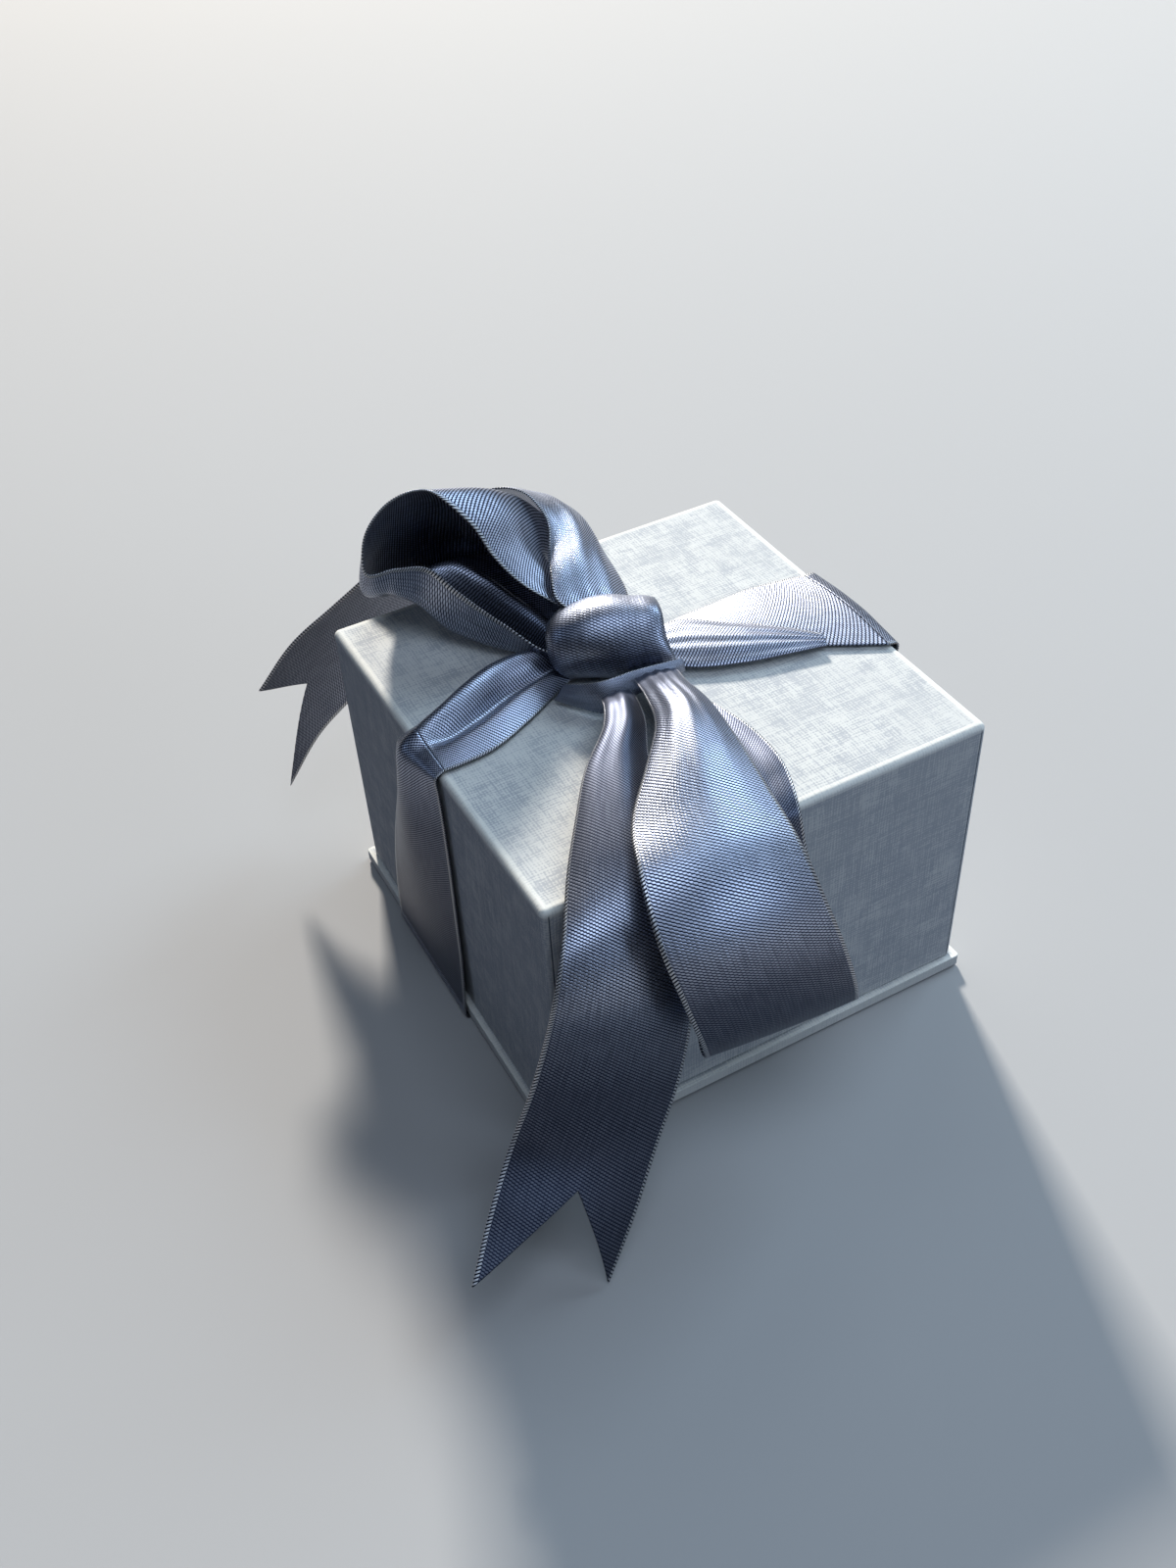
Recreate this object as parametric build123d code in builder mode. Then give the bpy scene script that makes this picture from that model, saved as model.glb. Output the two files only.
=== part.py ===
# Presentation box for keepsakes: a deep lid over a tray on a plate, tied with a satin ribbon and its bow.
# Millimetres. The origin lies on the face that the box rests on, the underside of the ribbon's strap,
# under the middle of the box. +Z is up, the front is towards -Y, and the band of ribbon runs along X.
import os
from math import copysign

from build123d import *

os.makedirs("parts", exist_ok=True)

# The lid
lid_width = 70.0
lid_top = 50.0
lid_corner_radius = 1.0
lid_edge_roll = 0.9
lid_board_thickness = 1.5
lid_seat_gap = 0.3
lid_pad_width = 58.0
lid_pad_thickness = 3.0
lid_pad_edge = 1.3

# The base: plate, tray and insert
plate_lip = 1.0
plate_board_thickness = 1.6
plate_corner_radius = 0.6
plate_edge_roll = 0.3
tray_top = 42.0
tray_board_thickness = 1.5
tray_corner_radius = 0.8
tray_lid_clearance = 0.45
insert_height = 21.0
insert_clearance = 0.25
insert_edge = 3.0
insert_cover_thickness = 0.4
insert_cover_drop = 9.0

# Papers
wrap_thickness = 0.2
lining_thickness = 0.15
underside_paper_thickness = 0.15
underside_paper_margin = 1.5
turn_in = 12.0
plate_turn_in = 11.0
stay_thickness = 0.1
stay_leg = 9.0
stay_setback = 2.5

# The ribbon
ribbon_width = 25.0
ribbon_thickness = 0.3
ribbon_clearance = 0.15
strap_y = 7.0
strap_bend = 0.7
strap_rise = 2.6
knot_length = 18.0
knot_depth = 13.0
knot_height = 11.2
knot_turn = -8.0
knot_stations = 9
knot_end = 0.97
front_notch = 14.0
back_notch = 11.5

# The bow's points were laid out on a lid this wide and this high, in ribbon of this width. On another
# size they keep their place against the lid.
layout = (70.0, 50.0, 25.0)

# Heights and widths that follow from the sizes above
plate_bottom = ribbon_thickness
plate_wrap_bottom = plate_bottom + underside_paper_thickness
plate_board_bottom = plate_wrap_bottom + wrap_thickness
plate_board_top = plate_board_bottom + plate_board_thickness
plate_top = plate_board_top + wrap_thickness
plate_width = lid_width + 2 * plate_lip
lid_rim = plate_top + lid_seat_gap
lid_board_width = lid_width - 2 * wrap_thickness
lid_board_bottom = lid_rim + wrap_thickness
lid_board_top = lid_top - wrap_thickness
lid_ceiling = lid_board_top - lid_board_thickness
lid_inside = lid_board_width - 2 * lid_board_thickness
lid_mouth = lid_inside - 2 * wrap_thickness
tray_width = lid_mouth - 2 * tray_lid_clearance
tray_board_width = tray_width - 2 * wrap_thickness
tray_board_top = tray_top - wrap_thickness
tray_floor = plate_top + tray_board_thickness
tray_inside = tray_board_width - 2 * tray_board_thickness
insert_bottom = tray_floor + lining_thickness
insert_width = tray_inside - 2 * (wrap_thickness + insert_clearance)
lid_half = lid_width / 2


def block(width, bottom, top, corner=0.0, roll=0.0):
    # A square block with rounded upright corners and a rolled top edge.
    with BuildPart() as made:
        with BuildSketch(Plane.XY.offset(bottom)):
            if corner > 0:
                RectangleRounded(width, width, corner)
            else:
                Rectangle(width, width)
        extrude(amount=top - bottom)
        if roll > 0:
            fillet(made.faces().sort_by(Axis.Z)[-1].edges(), roll)
    return made.part


def ring(outside, inside, bottom, top, corner=0.0):
    # A square collar: the space between two upright blocks.
    with BuildPart() as made:
        add(block(outside, bottom, top, corner))
        add(block(inside, bottom, top), mode=Mode.SUBTRACT)
    return made.part


def stays(board_width, corner, bottom, top):
    # Four paper strips, each folded round one upright corner of a board shell.
    reach = board_width / 2
    with BuildPart() as made:
        with BuildSketch(Plane.XY.offset(bottom)):
            RectangleRounded(
                board_width + 2 * stay_thickness, board_width + 2 * stay_thickness, corner + stay_thickness
            )
            RectangleRounded(board_width, board_width, corner, mode=Mode.SUBTRACT)
            Rectangle(2 * (reach - stay_leg), 4 * reach, mode=Mode.SUBTRACT)
            Rectangle(4 * reach, 2 * (reach - stay_leg), mode=Mode.SUBTRACT)
        extrude(amount=top - bottom)
    return made.part


# The lid, from the board outwards and then inwards
with BuildPart() as lid_board:
    add(
        block(
            lid_board_width,
            lid_board_bottom,
            lid_board_top,
            lid_corner_radius - wrap_thickness,
            lid_edge_roll - wrap_thickness,
        )
    )
    add(block(lid_inside, lid_board_bottom, lid_ceiling), mode=Mode.SUBTRACT)
lid_board.part.label = "lid_board"

with BuildPart() as lid_corner_stays:
    add(
        stays(
            lid_board_width,
            lid_corner_radius - wrap_thickness,
            lid_board_bottom + stay_setback,
            lid_board_top - stay_setback,
        )
    )
lid_corner_stays.part.label = "lid_corner_stays"

with BuildPart() as lid_wrap:
    add(block(lid_width, lid_rim, lid_top, lid_corner_radius, lid_edge_roll))
    add(
        block(
            lid_board_width,
            lid_board_bottom,
            lid_board_top,
            lid_corner_radius - wrap_thickness,
            lid_edge_roll - wrap_thickness,
        ),
        mode=Mode.SUBTRACT,
    )
    add(block(lid_mouth, lid_rim, lid_board_bottom), mode=Mode.SUBTRACT)
    add(ring(lid_inside, lid_mouth, lid_board_bottom, lid_rim + turn_in))
    add(lid_corner_stays.part, mode=Mode.SUBTRACT)
lid_wrap.part.label = "lid_wrap"

with BuildPart() as lid_lining:
    add(block(lid_inside, lid_rim + turn_in, lid_ceiling))
    add(
        block(lid_inside - 2 * lining_thickness, lid_rim + turn_in, lid_ceiling - lining_thickness),
        mode=Mode.SUBTRACT,
    )
lid_lining.part.label = "lid_lining"

# The pad's underside is the crowned face, so it is rounded at the bottom
with BuildPart() as lid_pad:
    with BuildSketch(Plane.XY.offset(lid_ceiling - lining_thickness)):
        RectangleRounded(lid_pad_width, lid_pad_width, lid_pad_thickness)
    extrude(amount=-lid_pad_thickness)
    fillet(lid_pad.faces().sort_by(Axis.Z)[0].edges(), lid_pad_edge)
lid_pad.part.label = "lid_pad"

# The plate under the box
with BuildPart() as base_board:
    add(
        block(
            plate_width - 2 * wrap_thickness,
            plate_board_bottom,
            plate_board_top,
            plate_corner_radius - wrap_thickness,
        )
    )
base_board.part.label = "base_board"

with BuildPart() as base_wrap:
    add(block(plate_width, plate_wrap_bottom, plate_top, plate_corner_radius, plate_edge_roll / 2))
    add(base_board.part, mode=Mode.SUBTRACT)
    add(
        block(plate_width - 2 * plate_turn_in, plate_wrap_bottom, plate_board_bottom),
        mode=Mode.SUBTRACT,
    )
    fillet(base_wrap.faces().sort_by(Axis.Z)[0].outer_wire().edges(), plate_edge_roll / 2)
base_wrap.part.label = "base_wrap"

with BuildPart() as base_underside_paper:
    add(block(plate_width - 2 * underside_paper_margin, plate_bottom, plate_wrap_bottom))
    add(block(plate_width - 2 * plate_turn_in, plate_wrap_bottom, plate_board_bottom))
base_underside_paper.part.label = "base_underside_paper"

# The tray that the lid slides over
with BuildPart() as tray_board:
    add(block(tray_board_width, plate_top, tray_board_top, tray_corner_radius - wrap_thickness))
    add(block(tray_inside, tray_floor, tray_board_top), mode=Mode.SUBTRACT)
tray_board.part.label = "tray_board"

with BuildPart() as tray_corner_stays:
    add(
        stays(
            tray_board_width,
            tray_corner_radius - wrap_thickness,
            plate_top + stay_setback,
            tray_board_top - stay_setback,
        )
    )
tray_corner_stays.part.label = "tray_corner_stays"

with BuildPart() as tray_wrap:
    add(block(tray_width, plate_top, tray_top, tray_corner_radius))
    add(
        block(tray_board_width, plate_top, tray_board_top, tray_corner_radius - wrap_thickness),
        mode=Mode.SUBTRACT,
    )
    add(block(tray_inside - 2 * wrap_thickness, tray_board_top, tray_top), mode=Mode.SUBTRACT)
    add(ring(tray_inside, tray_inside - 2 * wrap_thickness, tray_top - turn_in, tray_board_top))
    add(tray_corner_stays.part, mode=Mode.SUBTRACT)
tray_wrap.part.label = "tray_wrap"

with BuildPart() as tray_lining:
    add(block(tray_inside, tray_floor, tray_top - turn_in))
    add(
        block(tray_inside - 2 * lining_thickness, insert_bottom, tray_top - turn_in),
        mode=Mode.SUBTRACT,
    )
tray_lining.part.label = "tray_lining"

# The pad that the keepsake lies on: a foam block under a velvet cover
with BuildPart() as insert_foam:
    add(
        block(
            insert_width - 2 * insert_cover_thickness,
            insert_bottom,
            insert_bottom + insert_height,
            insert_edge,
            insert_edge - insert_cover_thickness,
        )
    )
insert_foam.part.label = "insert_foam"

with BuildPart() as insert_cover:
    add(
        block(
            insert_width,
            insert_bottom + insert_height - insert_cover_drop,
            insert_bottom + insert_height + insert_cover_thickness,
            insert_edge + insert_cover_thickness,
            insert_edge,
        )
    )
    add(insert_foam.part, mode=Mode.SUBTRACT)
insert_cover.part.label = "insert_cover"


def place(point):
    # Keeps a point of the bow against the lid: over the lid it moves in share with the lid's width, beyond
    # a face it keeps its distance, and below the lid's top its height is a share of the box's height.
    drawn_half, drawn_top = layout[0] / 2, layout[1]

    def spread(value):
        beyond = abs(value) - drawn_half
        if beyond <= 0:
            return value * lid_half / drawn_half
        return copysign(lid_half + beyond, value)

    if point.Z > drawn_top:
        height = point.Z + lid_top - drawn_top
    else:
        height = point.Z * lid_top / drawn_top
    return Vector(spread(point.X), spread(point.Y), height)


def station(near, far, outward):
    # The plane across the ribbon at one station: its origin is the near selvedge, its X runs to the far
    # one and its Y is the ribbon's outer side. Returns the plane and the width from edge to edge.
    near, far = Vector(*near), Vector(*far)
    middle, across = place((near + far) / 2), far - near
    width = across.length * ribbon_width / layout[2]
    along = across.normalized()
    side = Vector(*outward)
    side = (side - along * side.dot(along)).normalized()
    start = middle - along * (width / 2)
    return Plane(origin=start, x_dir=along, z_dir=along.cross(side)), width


def strip(rows):
    # A length of ribbon lofted from station to station. Each row gives the near and far selvedges, the
    # outer side and the heights of the ribbon between them, one height for an arc and more for a fold.
    with BuildPart() as made:
        for pair in zip(rows, rows[1:]):
            for near, far, outward, heights in pair:
                plane, width = station(near, far, outward)
                count = len(heights) + 1
                crown = [(width * (n + 1) / count, h) for n, h in enumerate(heights)]
                top = [(0, 0)] + crown + [(width, 0)]
                under = [(x, y - ribbon_thickness) for x, y in reversed(top)]
                with BuildSketch(plane):
                    with BuildLine():
                        if len(heights) == 1:
                            ThreePointArc(*top)
                            Line(top[-1], under[0])
                            ThreePointArc(*under)
                        else:
                            Spline(*top)
                            Line(top[-1], under[0])
                            Spline(*under)
                        Line(under[-1], top[0])
                    make_face()
            loft(ruled=True)
    return made.part


def notch(rows, depth):
    # The wedge that cuts a swallowtail into the ribbon's last station.
    plane, width = station(*rows[-1][:3])
    before, _ = station(*rows[-2][:3])
    back = before.origin - plane.origin
    back = (back - plane.x_dir * back.dot(plane.x_dir)).normalized()
    past = 2.0
    spread = width / 2 * past / depth
    with BuildPart() as made:
        with BuildSketch(Plane(origin=plane.origin, x_dir=plane.x_dir, z_dir=plane.x_dir.cross(back))):
            with BuildLine():
                Polyline((-spread, -past), (width / 2, depth), (width + spread, -past), close=True)
            make_face()
        extrude(amount=ribbon_width / 2, both=True)
    return made.part


# The knot: a fat turn of ribbon over the crossing, fuller than an ellipse towards its ends
knot_middle = place(Vector(-3.5, 3.8, layout[1])) + Vector(0, 0, ribbon_clearance + knot_height / 2)
knot_axis = Vector(1, 0, 0).rotate(Axis.Z, knot_turn)
knot_side = Vector(0, 1, 0).rotate(Axis.Z, knot_turn)
with BuildPart() as ribbon_knot:
    for n in range(knot_stations):
        share = knot_end * (2 * n / (knot_stations - 1) - 1)
        fullness = (1 - abs(share) ** 2.6) ** (1 / 2.2)
        knot_plane = Plane(
            origin=knot_middle + knot_axis * (share * knot_length / 2), x_dir=knot_side, z_dir=knot_axis
        )
        with BuildSketch(knot_plane):
            Ellipse(knot_depth / 2 * fullness, knot_height / 2 * fullness)
    loft()
ribbon_knot.part.label = "ribbon_knot"

# The first half of the knot shows as a narrow fold under the front of the turn
knot_fold_rows = [
    ((-14.2, 0.8, 50.9), (-13.0, -0.4, 54.0), (-0.4, -0.8, 0.4), (0.4,)),
    ((-12.2, -2.2, 50.9), (-11.2, -3.0, 55.0), (-0.3, -0.9, 0.4), (0.6,)),
    ((-9.2, -6.0, 51.1), (-8.3, -4.6, 55.6), (-0.1, -0.9, 0.3), (0.7,)),
    ((-5.2, -6.2, 52.6), (-4.6, -5.2, 56.0), (0.0, -0.9, 0.3), (0.5,)),
    ((-1.2, -6.8, 53.6), (-0.9, -6.0, 56.2), (0.0, -0.9, 0.3), (0.4,)),
    ((2.8, -6.9, 54.3), (2.6, -6.5, 56.2), (0.1, -0.9, 0.3), (0.3,)),
]
with BuildPart() as ribbon_knot_fold:
    add(strip(knot_fold_rows))
    add(ribbon_knot.part, mode=Mode.SUBTRACT)
ribbon_knot_fold.part.label = "ribbon_knot_fold"

# The band that ties lid and plate together. On the lid its back edge is rolled into a ridge.
band_x = layout[0] / 2 + plate_lip + ribbon_clearance + ribbon_thickness
band_foot_z = strap_rise * layout[1] / lid_top
foot_near_y, foot_far_y = strap_y - layout[2] / 2, strap_y + layout[2] / 2
left_edge_row = ((-34.2, -4.8, 50.6), (-34.6, 5.0, 51.2), (-0.2, 0, 1), (0.6, 1.0, 2.0))
right_edge_row = ((33.9, -13.7, 50.5), (33.4, 7.4, 50.6), (0.2, 0, 1), (0.5, 0.8, 0.6))
band_top_left_rows = [
    ((-7.0, 4.0, 52.5), (-6.0, 8.0, 52.6), (0, 0, 1), (0.5, 0.7, 0.9)),
    ((-10.8, 3.4, 50.6), (-9.6, 9.0, 51.2), (0, 0, 1), (0.8, 1.4, 2.4)),
    ((-14.2, 1.5, 50.6), (-13.2, 10.4, 51.0), (0, 0, 1), (0.6, 0.6, 3.2)),
    ((-19.3, -1.3, 50.6), (-19.0, 10.8, 50.9), (0, 0, 1), (0.6, 0.4, 3.2)),
    ((-26.5, -4.3, 50.6), (-25.5, 8.5, 50.9), (0, 0, 1), (0.6, 0.5, 3.2)),
    ((-31.5, -4.8, 50.6), (-31.0, 5.8, 50.9), (0, 0, 1), (0.6, 0.9, 2.6)),
    left_edge_row,
]
band_left_rows = [
    left_edge_row,
    ((-35.5, -5.0, 50.0), (-36.6, 5.0, 50.4), (-0.7, 0, 0.7), (0.6, 1.0, 1.6)),
    ((-35.6, -5.3, 47.5), (-37.2, 5.0, 47.5), (-1, 0, 0), (0.8, 1.4, 1.6)),
    ((-35.6, -5.6, 42.0), (-37.3, 6.4, 41.5), (-1, 0, 0), (1.2, 2.2, 1.8)),
    ((-35.6, -5.7, 34.0), (-37.4, 9.6, 33.0), (-1, 0, 0), (1.4, 2.2, 1.6)),
    ((-35.7, -5.6, 24.0), (-37.2, 13.5, 23.5), (-1, 0, 0), (1.0, 1.6, 1.2)),
    ((-35.9, -5.6, 13.0), (-36.9, 17.0, 12.5), (-1, 0, 0), (0.5, 0.8, 0.6)),
    ((-band_x, foot_near_y, band_foot_z), (-band_x, foot_far_y, band_foot_z), (-1, 0, 0), (0, 0, 0)),
]
band_top_right_rows = [
    ((1.0, 0.5, 52.5), (2.0, 5.0, 52.7), (0, 0, 1), (0.5, 0.6, 0.5)),
    ((4.8, -2.8, 50.8), (8.6, 7.6, 51.0), (0, 0, 1), (1.2, 1.6, 1.2)),
    ((13.2, -6.8, 50.6), (17.5, 8.6, 50.7), (0, 0, 1), (1.0, 1.8, 1.2)),
    ((20.5, -8.6, 50.6), (24.5, 8.9, 50.6), (0, 0, 1), (0.8, 1.6, 1.1)),
    ((27.2, -10.2, 50.6), (29.5, 8.2, 50.6), (0, 0, 1), (0.7, 1.3, 0.9)),
    right_edge_row,
]
band_right_rows = [
    right_edge_row,
    ((35.5, -13.6, 50.0), (35.5, 7.9, 50.0), (0.7, 0, 0.7), (0.4, 0.6, 0.4)),
    ((35.6, -13.0, 46.0), (35.6, 9.5, 46.0), (1, 0, 0), (0.8, 1.2, 0.8)),
    ((35.6, -11.0, 34.0), (35.7, 12.4, 34.0), (1, 0, 0), (0.7, 1.0, 0.7)),
    ((35.8, -8.5, 18.0), (35.9, 15.8, 18.0), (1, 0, 0), (0.3, 0.5, 0.3)),
    ((band_x, foot_near_y, band_foot_z), (band_x, foot_far_y, band_foot_z), (1, 0, 0), (0, 0, 0)),
]
with BuildPart() as ribbon_band_top_left:
    add(strip(band_top_left_rows))
    add(ribbon_knot.part, mode=Mode.SUBTRACT)
ribbon_band_top_left.part.label = "ribbon_band_top_left"

with BuildPart() as ribbon_band_left:
    add(strip(band_left_rows))
ribbon_band_left.part.label = "ribbon_band_left"

with BuildPart() as ribbon_band_top_right:
    add(strip(band_top_right_rows))
    add(ribbon_knot.part, mode=Mode.SUBTRACT)
ribbon_band_top_right.part.label = "ribbon_band_top_right"

with BuildPart() as ribbon_band_right:
    add(strip(band_right_rows))
ribbon_band_right.part.label = "ribbon_band_right"

# The strap runs flat under the plate and bends up round its two edges
strap_half = lid_half + plate_lip + ribbon_clearance + ribbon_thickness
with BuildPart() as ribbon_under_strap:
    with BuildSketch(Plane.XZ.offset(-place(Vector(0, strap_y, 0)).Y)):
        with BuildLine():
            strap_line = FilletPolyline(
                (-strap_half, strap_rise),
                (-strap_half, 0),
                (strap_half, 0),
                (strap_half, strap_rise),
                radius=strap_bend,
            )
            strap_inner = FilletPolyline(
                (strap_half - ribbon_thickness, strap_rise),
                (strap_half - ribbon_thickness, ribbon_thickness),
                (ribbon_thickness - strap_half, ribbon_thickness),
                (ribbon_thickness - strap_half, strap_rise),
                radius=strap_bend - ribbon_thickness,
            )
            Line(strap_line @ 1, strap_inner @ 0)
            Line(strap_inner @ 1, strap_line @ 0)
        make_face()
    extrude(amount=ribbon_width / 2, both=True)
ribbon_under_strap.part.label = "ribbon_under_strap"

# The left loop stands up over the lid's back left corner, open towards the left.
# Its lower layer is drawn in at the knot, so it hangs like a gutter.
loop_left_rows = [
    ((-6.0, 5.6, 57.6), (-2.5, 6.3, 56.4), (0, -0.2, 1), (0.3,)),
    ((-8.7, 9.4, 60.0), (-3.6, 10.4, 57.0), (-0.1, 0.2, 1), (0.6,)),
    ((-12.3, 12.0, 63.0), (-3.5, 17.0, 57.4), (0.1, 0.3, 1), (1.6,)),
    ((-15.4, 15.0, 67.4), (-4.5, 25.0, 57.0), (0.3, 0.5, 0.8), (3.0,)),
    ((-17.3, 18.0, 72.1), (-7.0, 30.0, 56.0), (0.4, 0.6, 0.7), (3.0,)),
    ((-19.8, 20.0, 75.5), (-10.5, 32.0, 55.8), (0.4, 0.6, 0.7), (2.0,)),
    ((-23.2, 22.0, 77.3), (-14.5, 34.5, 57.5), (0.1, 0.6, 0.8), (1.4,)),
    ((-28.0, 23.0, 75.5), (-19.0, 36.5, 57.0), (-0.6, 0.5, 0.5), (1.4,)),
    ((-31.7, 23.0, 70.0), (-23.0, 37.5, 53.3), (-1.0, 0.3, 0.0), (1.4,)),
    ((-31.9, 23.0, 66.7), (-23.0, 35.5, 52.4), (-0.9, 0.0, -0.5), (2.0,)),
    ((-27.5, 22.2, 66.0), (-18.0, 32.0, 56.0), (-0.5, -0.4, -0.8), (4.6,)),
    ((-23.0, 21.0, 65.0), (-12.6, 29.0, 58.0), (-0.3, -0.6, -0.75), (6.2,)),
    ((-20.5, 18.0, 62.2), (-9.5, 25.0, 57.6), (-0.3, -0.6, -0.75), (5.8,)),
    ((-18.3, 15.0, 60.0), (-7.6, 20.0, 57.0), (-0.2, -0.5, -0.8), (4.6,)),
    ((-15.7, 11.8, 57.7), (-6.2, 14.6, 56.6), (-0.1, -0.4, -0.9), (3.2,)),
    ((-12.6, 6.2, 55.6), (-7.0, 9.2, 56.4), (0.0, -0.3, -1), (1.2,)),
    ((-8.0, 3.5, 54.8), (-5.0, 5.0, 55.6), (0, 0, -1), (0.3,)),
]
with BuildPart() as ribbon_loop_left:
    add(strip(loop_left_rows))
    add(ribbon_knot.part, mode=Mode.SUBTRACT)
ribbon_loop_left.part.label = "ribbon_loop_left"

# The front loop lies flat, reaches over the front edge and turns under in a straight crease
loop_front_rows = [
    ((-4.6, -0.5, 57.5), (-0.2, -0.8, 57.3), (0, 0, 1), (0.4,)),
    ((-6.0, -8.2, 57.2), (0.2, -8.4, 57.0), (0, -0.3, 1), (0.8,)),
    ((-7.4, -14.0, 58.4), (-0.6, -13.4, 58.2), (0, 0, 1), (1.2,)),
    ((-9.4, -20.0, 58.6), (-0.9, -19.4, 58.6), (0, -0.1, 1), (1.6,)),
    ((-15.0, -26.6, 58.0), (-1.4, -27.4, 57.6), (0, -0.4, 1), (2.0,)),
    ((-20.3, -32.2, 56.4), (-1.6, -34.0, 55.2), (0, -0.7, 0.8), (2.2,)),
    ((-22.4, -37.0, 53.6), (-0.6, -39.2, 50.6), (0, -0.9, 0.5), (2.2,)),
    ((-22.6, -42.2, 45.1), (1.4, -43.4, 41.6), (0, -1, 0.2), (1.4,)),
    ((-21.0, -44.8, 36.0), (4.0, -45.3, 32.6), (0, -1, 0), (0.8,)),
    ((-18.5, -46.1, 25.2), (6.6, -46.1, 22.0), (0, -1, 0), (0.3,)),
    ((-18.4, -45.7, 24.0), (6.7, -45.7, 20.8), (0, -0.7, -0.7), (0.2,)),
    ((-18.3, -44.7, 23.7), (6.8, -44.7, 20.5), (0, 0.1, -1), (0.2,)),
    ((-18.0, -43.9, 24.6), (7.0, -43.9, 21.4), (0, 1, -0.4), (0.2,)),
    ((-16.4, -42.4, 32.0), (6.0, -42.6, 29.0), (0, 1, 0), (0.2,)),
    ((-14.4, -40.4, 41.0), (3.4, -40.4, 38.6), (0, 1, 0), (0.2,)),
    ((-13.4, -38.6, 47.4), (2.3, -38.6, 46.2), (0, 0.9, -0.3), (0.2,)),
    ((-12.4, -36.9, 51.8), (2.2, -36.9, 51.4), (0, 0.5, -0.8), (0.2,)),
    ((-9.6, -30.8, 53.4), (4.1, -30.8, 53.2), (0, 0, -1), (0.2,)),
    ((-7.4, -23.0, 53.6), (4.7, -23.2, 53.4), (0, 0, -1), (0.2,)),
    ((-5.0, -15.0, 53.2), (3.4, -15.2, 53.2), (0, 0, -1), (0.2,)),
    ((-3.6, -8.0, 52.2), (1.8, -8.0, 52.4), (0, 0, -1), (0.2,)),
    ((-2.6, -0.5, 52.8), (0.2, -0.5, 53.0), (0, 0, -1), (0.1,)),
]
with BuildPart() as ribbon_loop_front:
    add(strip(loop_front_rows))
    add(ribbon_knot.part, mode=Mode.SUBTRACT)
    add(ribbon_knot_fold.part, mode=Mode.SUBTRACT)
ribbon_loop_front.part.label = "ribbon_loop_front"

# The front tail passes under the front loop, hangs past the front left corner and ends in a swallowtail
tail_front_rows = [
    ((-10.0, -5.8, 53.2), (-5.6, -6.1, 52.9), (0, -0.1, 1), (0.5,)),
    ((-11.0, -8.4, 53.4), (-6.0, -8.4, 52.8), (0, -0.2, 1), (0.8,)),
    ((-12.9, -11.8, 54.7), (-7.0, -12.3, 52.6), (0, 0, 1), (1.0,)),
    ((-19.8, -19.1, 55.1), (-10.4, -19.4, 52.4), (0, -0.1, 1), (1.4,)),
    ((-25.1, -26.3, 54.8), (-13.4, -28.0, 52.4), (0, -0.4, 1), (1.6,)),
    ((-29.3, -32.0, 53.5), (-15.2, -35.0, 51.4), (0, -0.7, 0.8), (1.8,)),
    ((-34.0, -38.4, 48.0), (-17.2, -40.2, 43.8), (0, -0.9, 0.4), (1.6,)),
    ((-37.2, -41.2, 41.6), (-18.0, -42.4, 35.0), (0, -1, 0.2), (1.7,)),
    ((-39.6, -42.4, 36.4), (-19.4, -43.9, 27.0), (0, -1, 0.1), (1.8,)),
    ((-43.0, -44.0, 29.8), (-22.8, -46.4, 20.4), (0, -1, 0.1), (1.6,)),
    ((-46.6, -45.4, 24.2), (-27.2, -49.2, 14.9), (0, -1, 0), (1.6,)),
    ((-52.6, -49.8, 18.0), (-33.5, -53.4, 7.8), (0, -1, 0), (1.6,)),
    ((-58.2, -55.0, 12.3), (-40.0, -57.0, 0.8), (0, -1, 0), (1.6,)),
]
with BuildPart() as ribbon_tail_front:
    add(strip(tail_front_rows))
    add(notch(tail_front_rows, front_notch), mode=Mode.SUBTRACT)
    add(ribbon_knot.part, mode=Mode.SUBTRACT)
    add(ribbon_knot_fold.part, mode=Mode.SUBTRACT)
ribbon_tail_front.part.label = "ribbon_tail_front"

# The back tail arches up behind the left loop and falls past the back left corner
tail_back_rows = [
    ((-5.2, 5.6, 58.4), (1.6, 6.6, 56.6), (0, 0, 1), (0.4,)),
    ((-8.7, 8.9, 60.8), (3.6, 11.0, 56.6), (0, 0, 1), (1.6,)),
    ((-7.9, 12.5, 62.9), (4.2, 15.0, 57.6), (0.2, 0.1, 1), (2.6,)),
    ((-5.8, 17.0, 64.0), (4.8, 20.4, 57.8), (0.3, 0, 1), (4.0,)),
    ((-4.2, 20.0, 66.0), (5.2, 27.0, 58.6), (0.4, 0, 1), (4.6,)),
    ((-4.6, 22.0, 68.4), (4.6, 34.0, 58.0), (0.5, 0.2, 0.9), (4.6,)),
    ((-5.6, 24.0, 69.9), (3.2, 39.0, 56.0), (0.5, 0.4, 0.8), (3.0,)),
    ((-7.5, 26.0, 70.4), (0.6, 42.5, 53.4), (0.4, 0.6, 0.7), (1.6,)),
    ((-12.4, 29.4, 69.1), (-5.0, 45.0, 49.8), (0.2, 0.7, 0.7), (1.2,)),
    ((-18.8, 36.4, 62.5), (-13.0, 48.0, 41.0), (-0.1, 0.8, 0.6), (1.0,)),
    ((-26.4, 40.0, 53.9), (-22.5, 48.4, 31.0), (-0.2, 0.9, 0.4), (0.8,)),
    ((-32.4, 41.6, 49.2), (-29.0, 48.6, 25.6), (-0.2, 0.9, 0.3), (0.8,)),
    ((-39.2, 43.2, 44.1), (-36.4, 48.6, 20.2), (-0.1, 1, 0.2), (0.8,)),
    ((-46.1, 44.6, 36.0), (-43.9, 48.0, 11.7), (0, 1, 0.1), (0.8,)),
]
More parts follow.
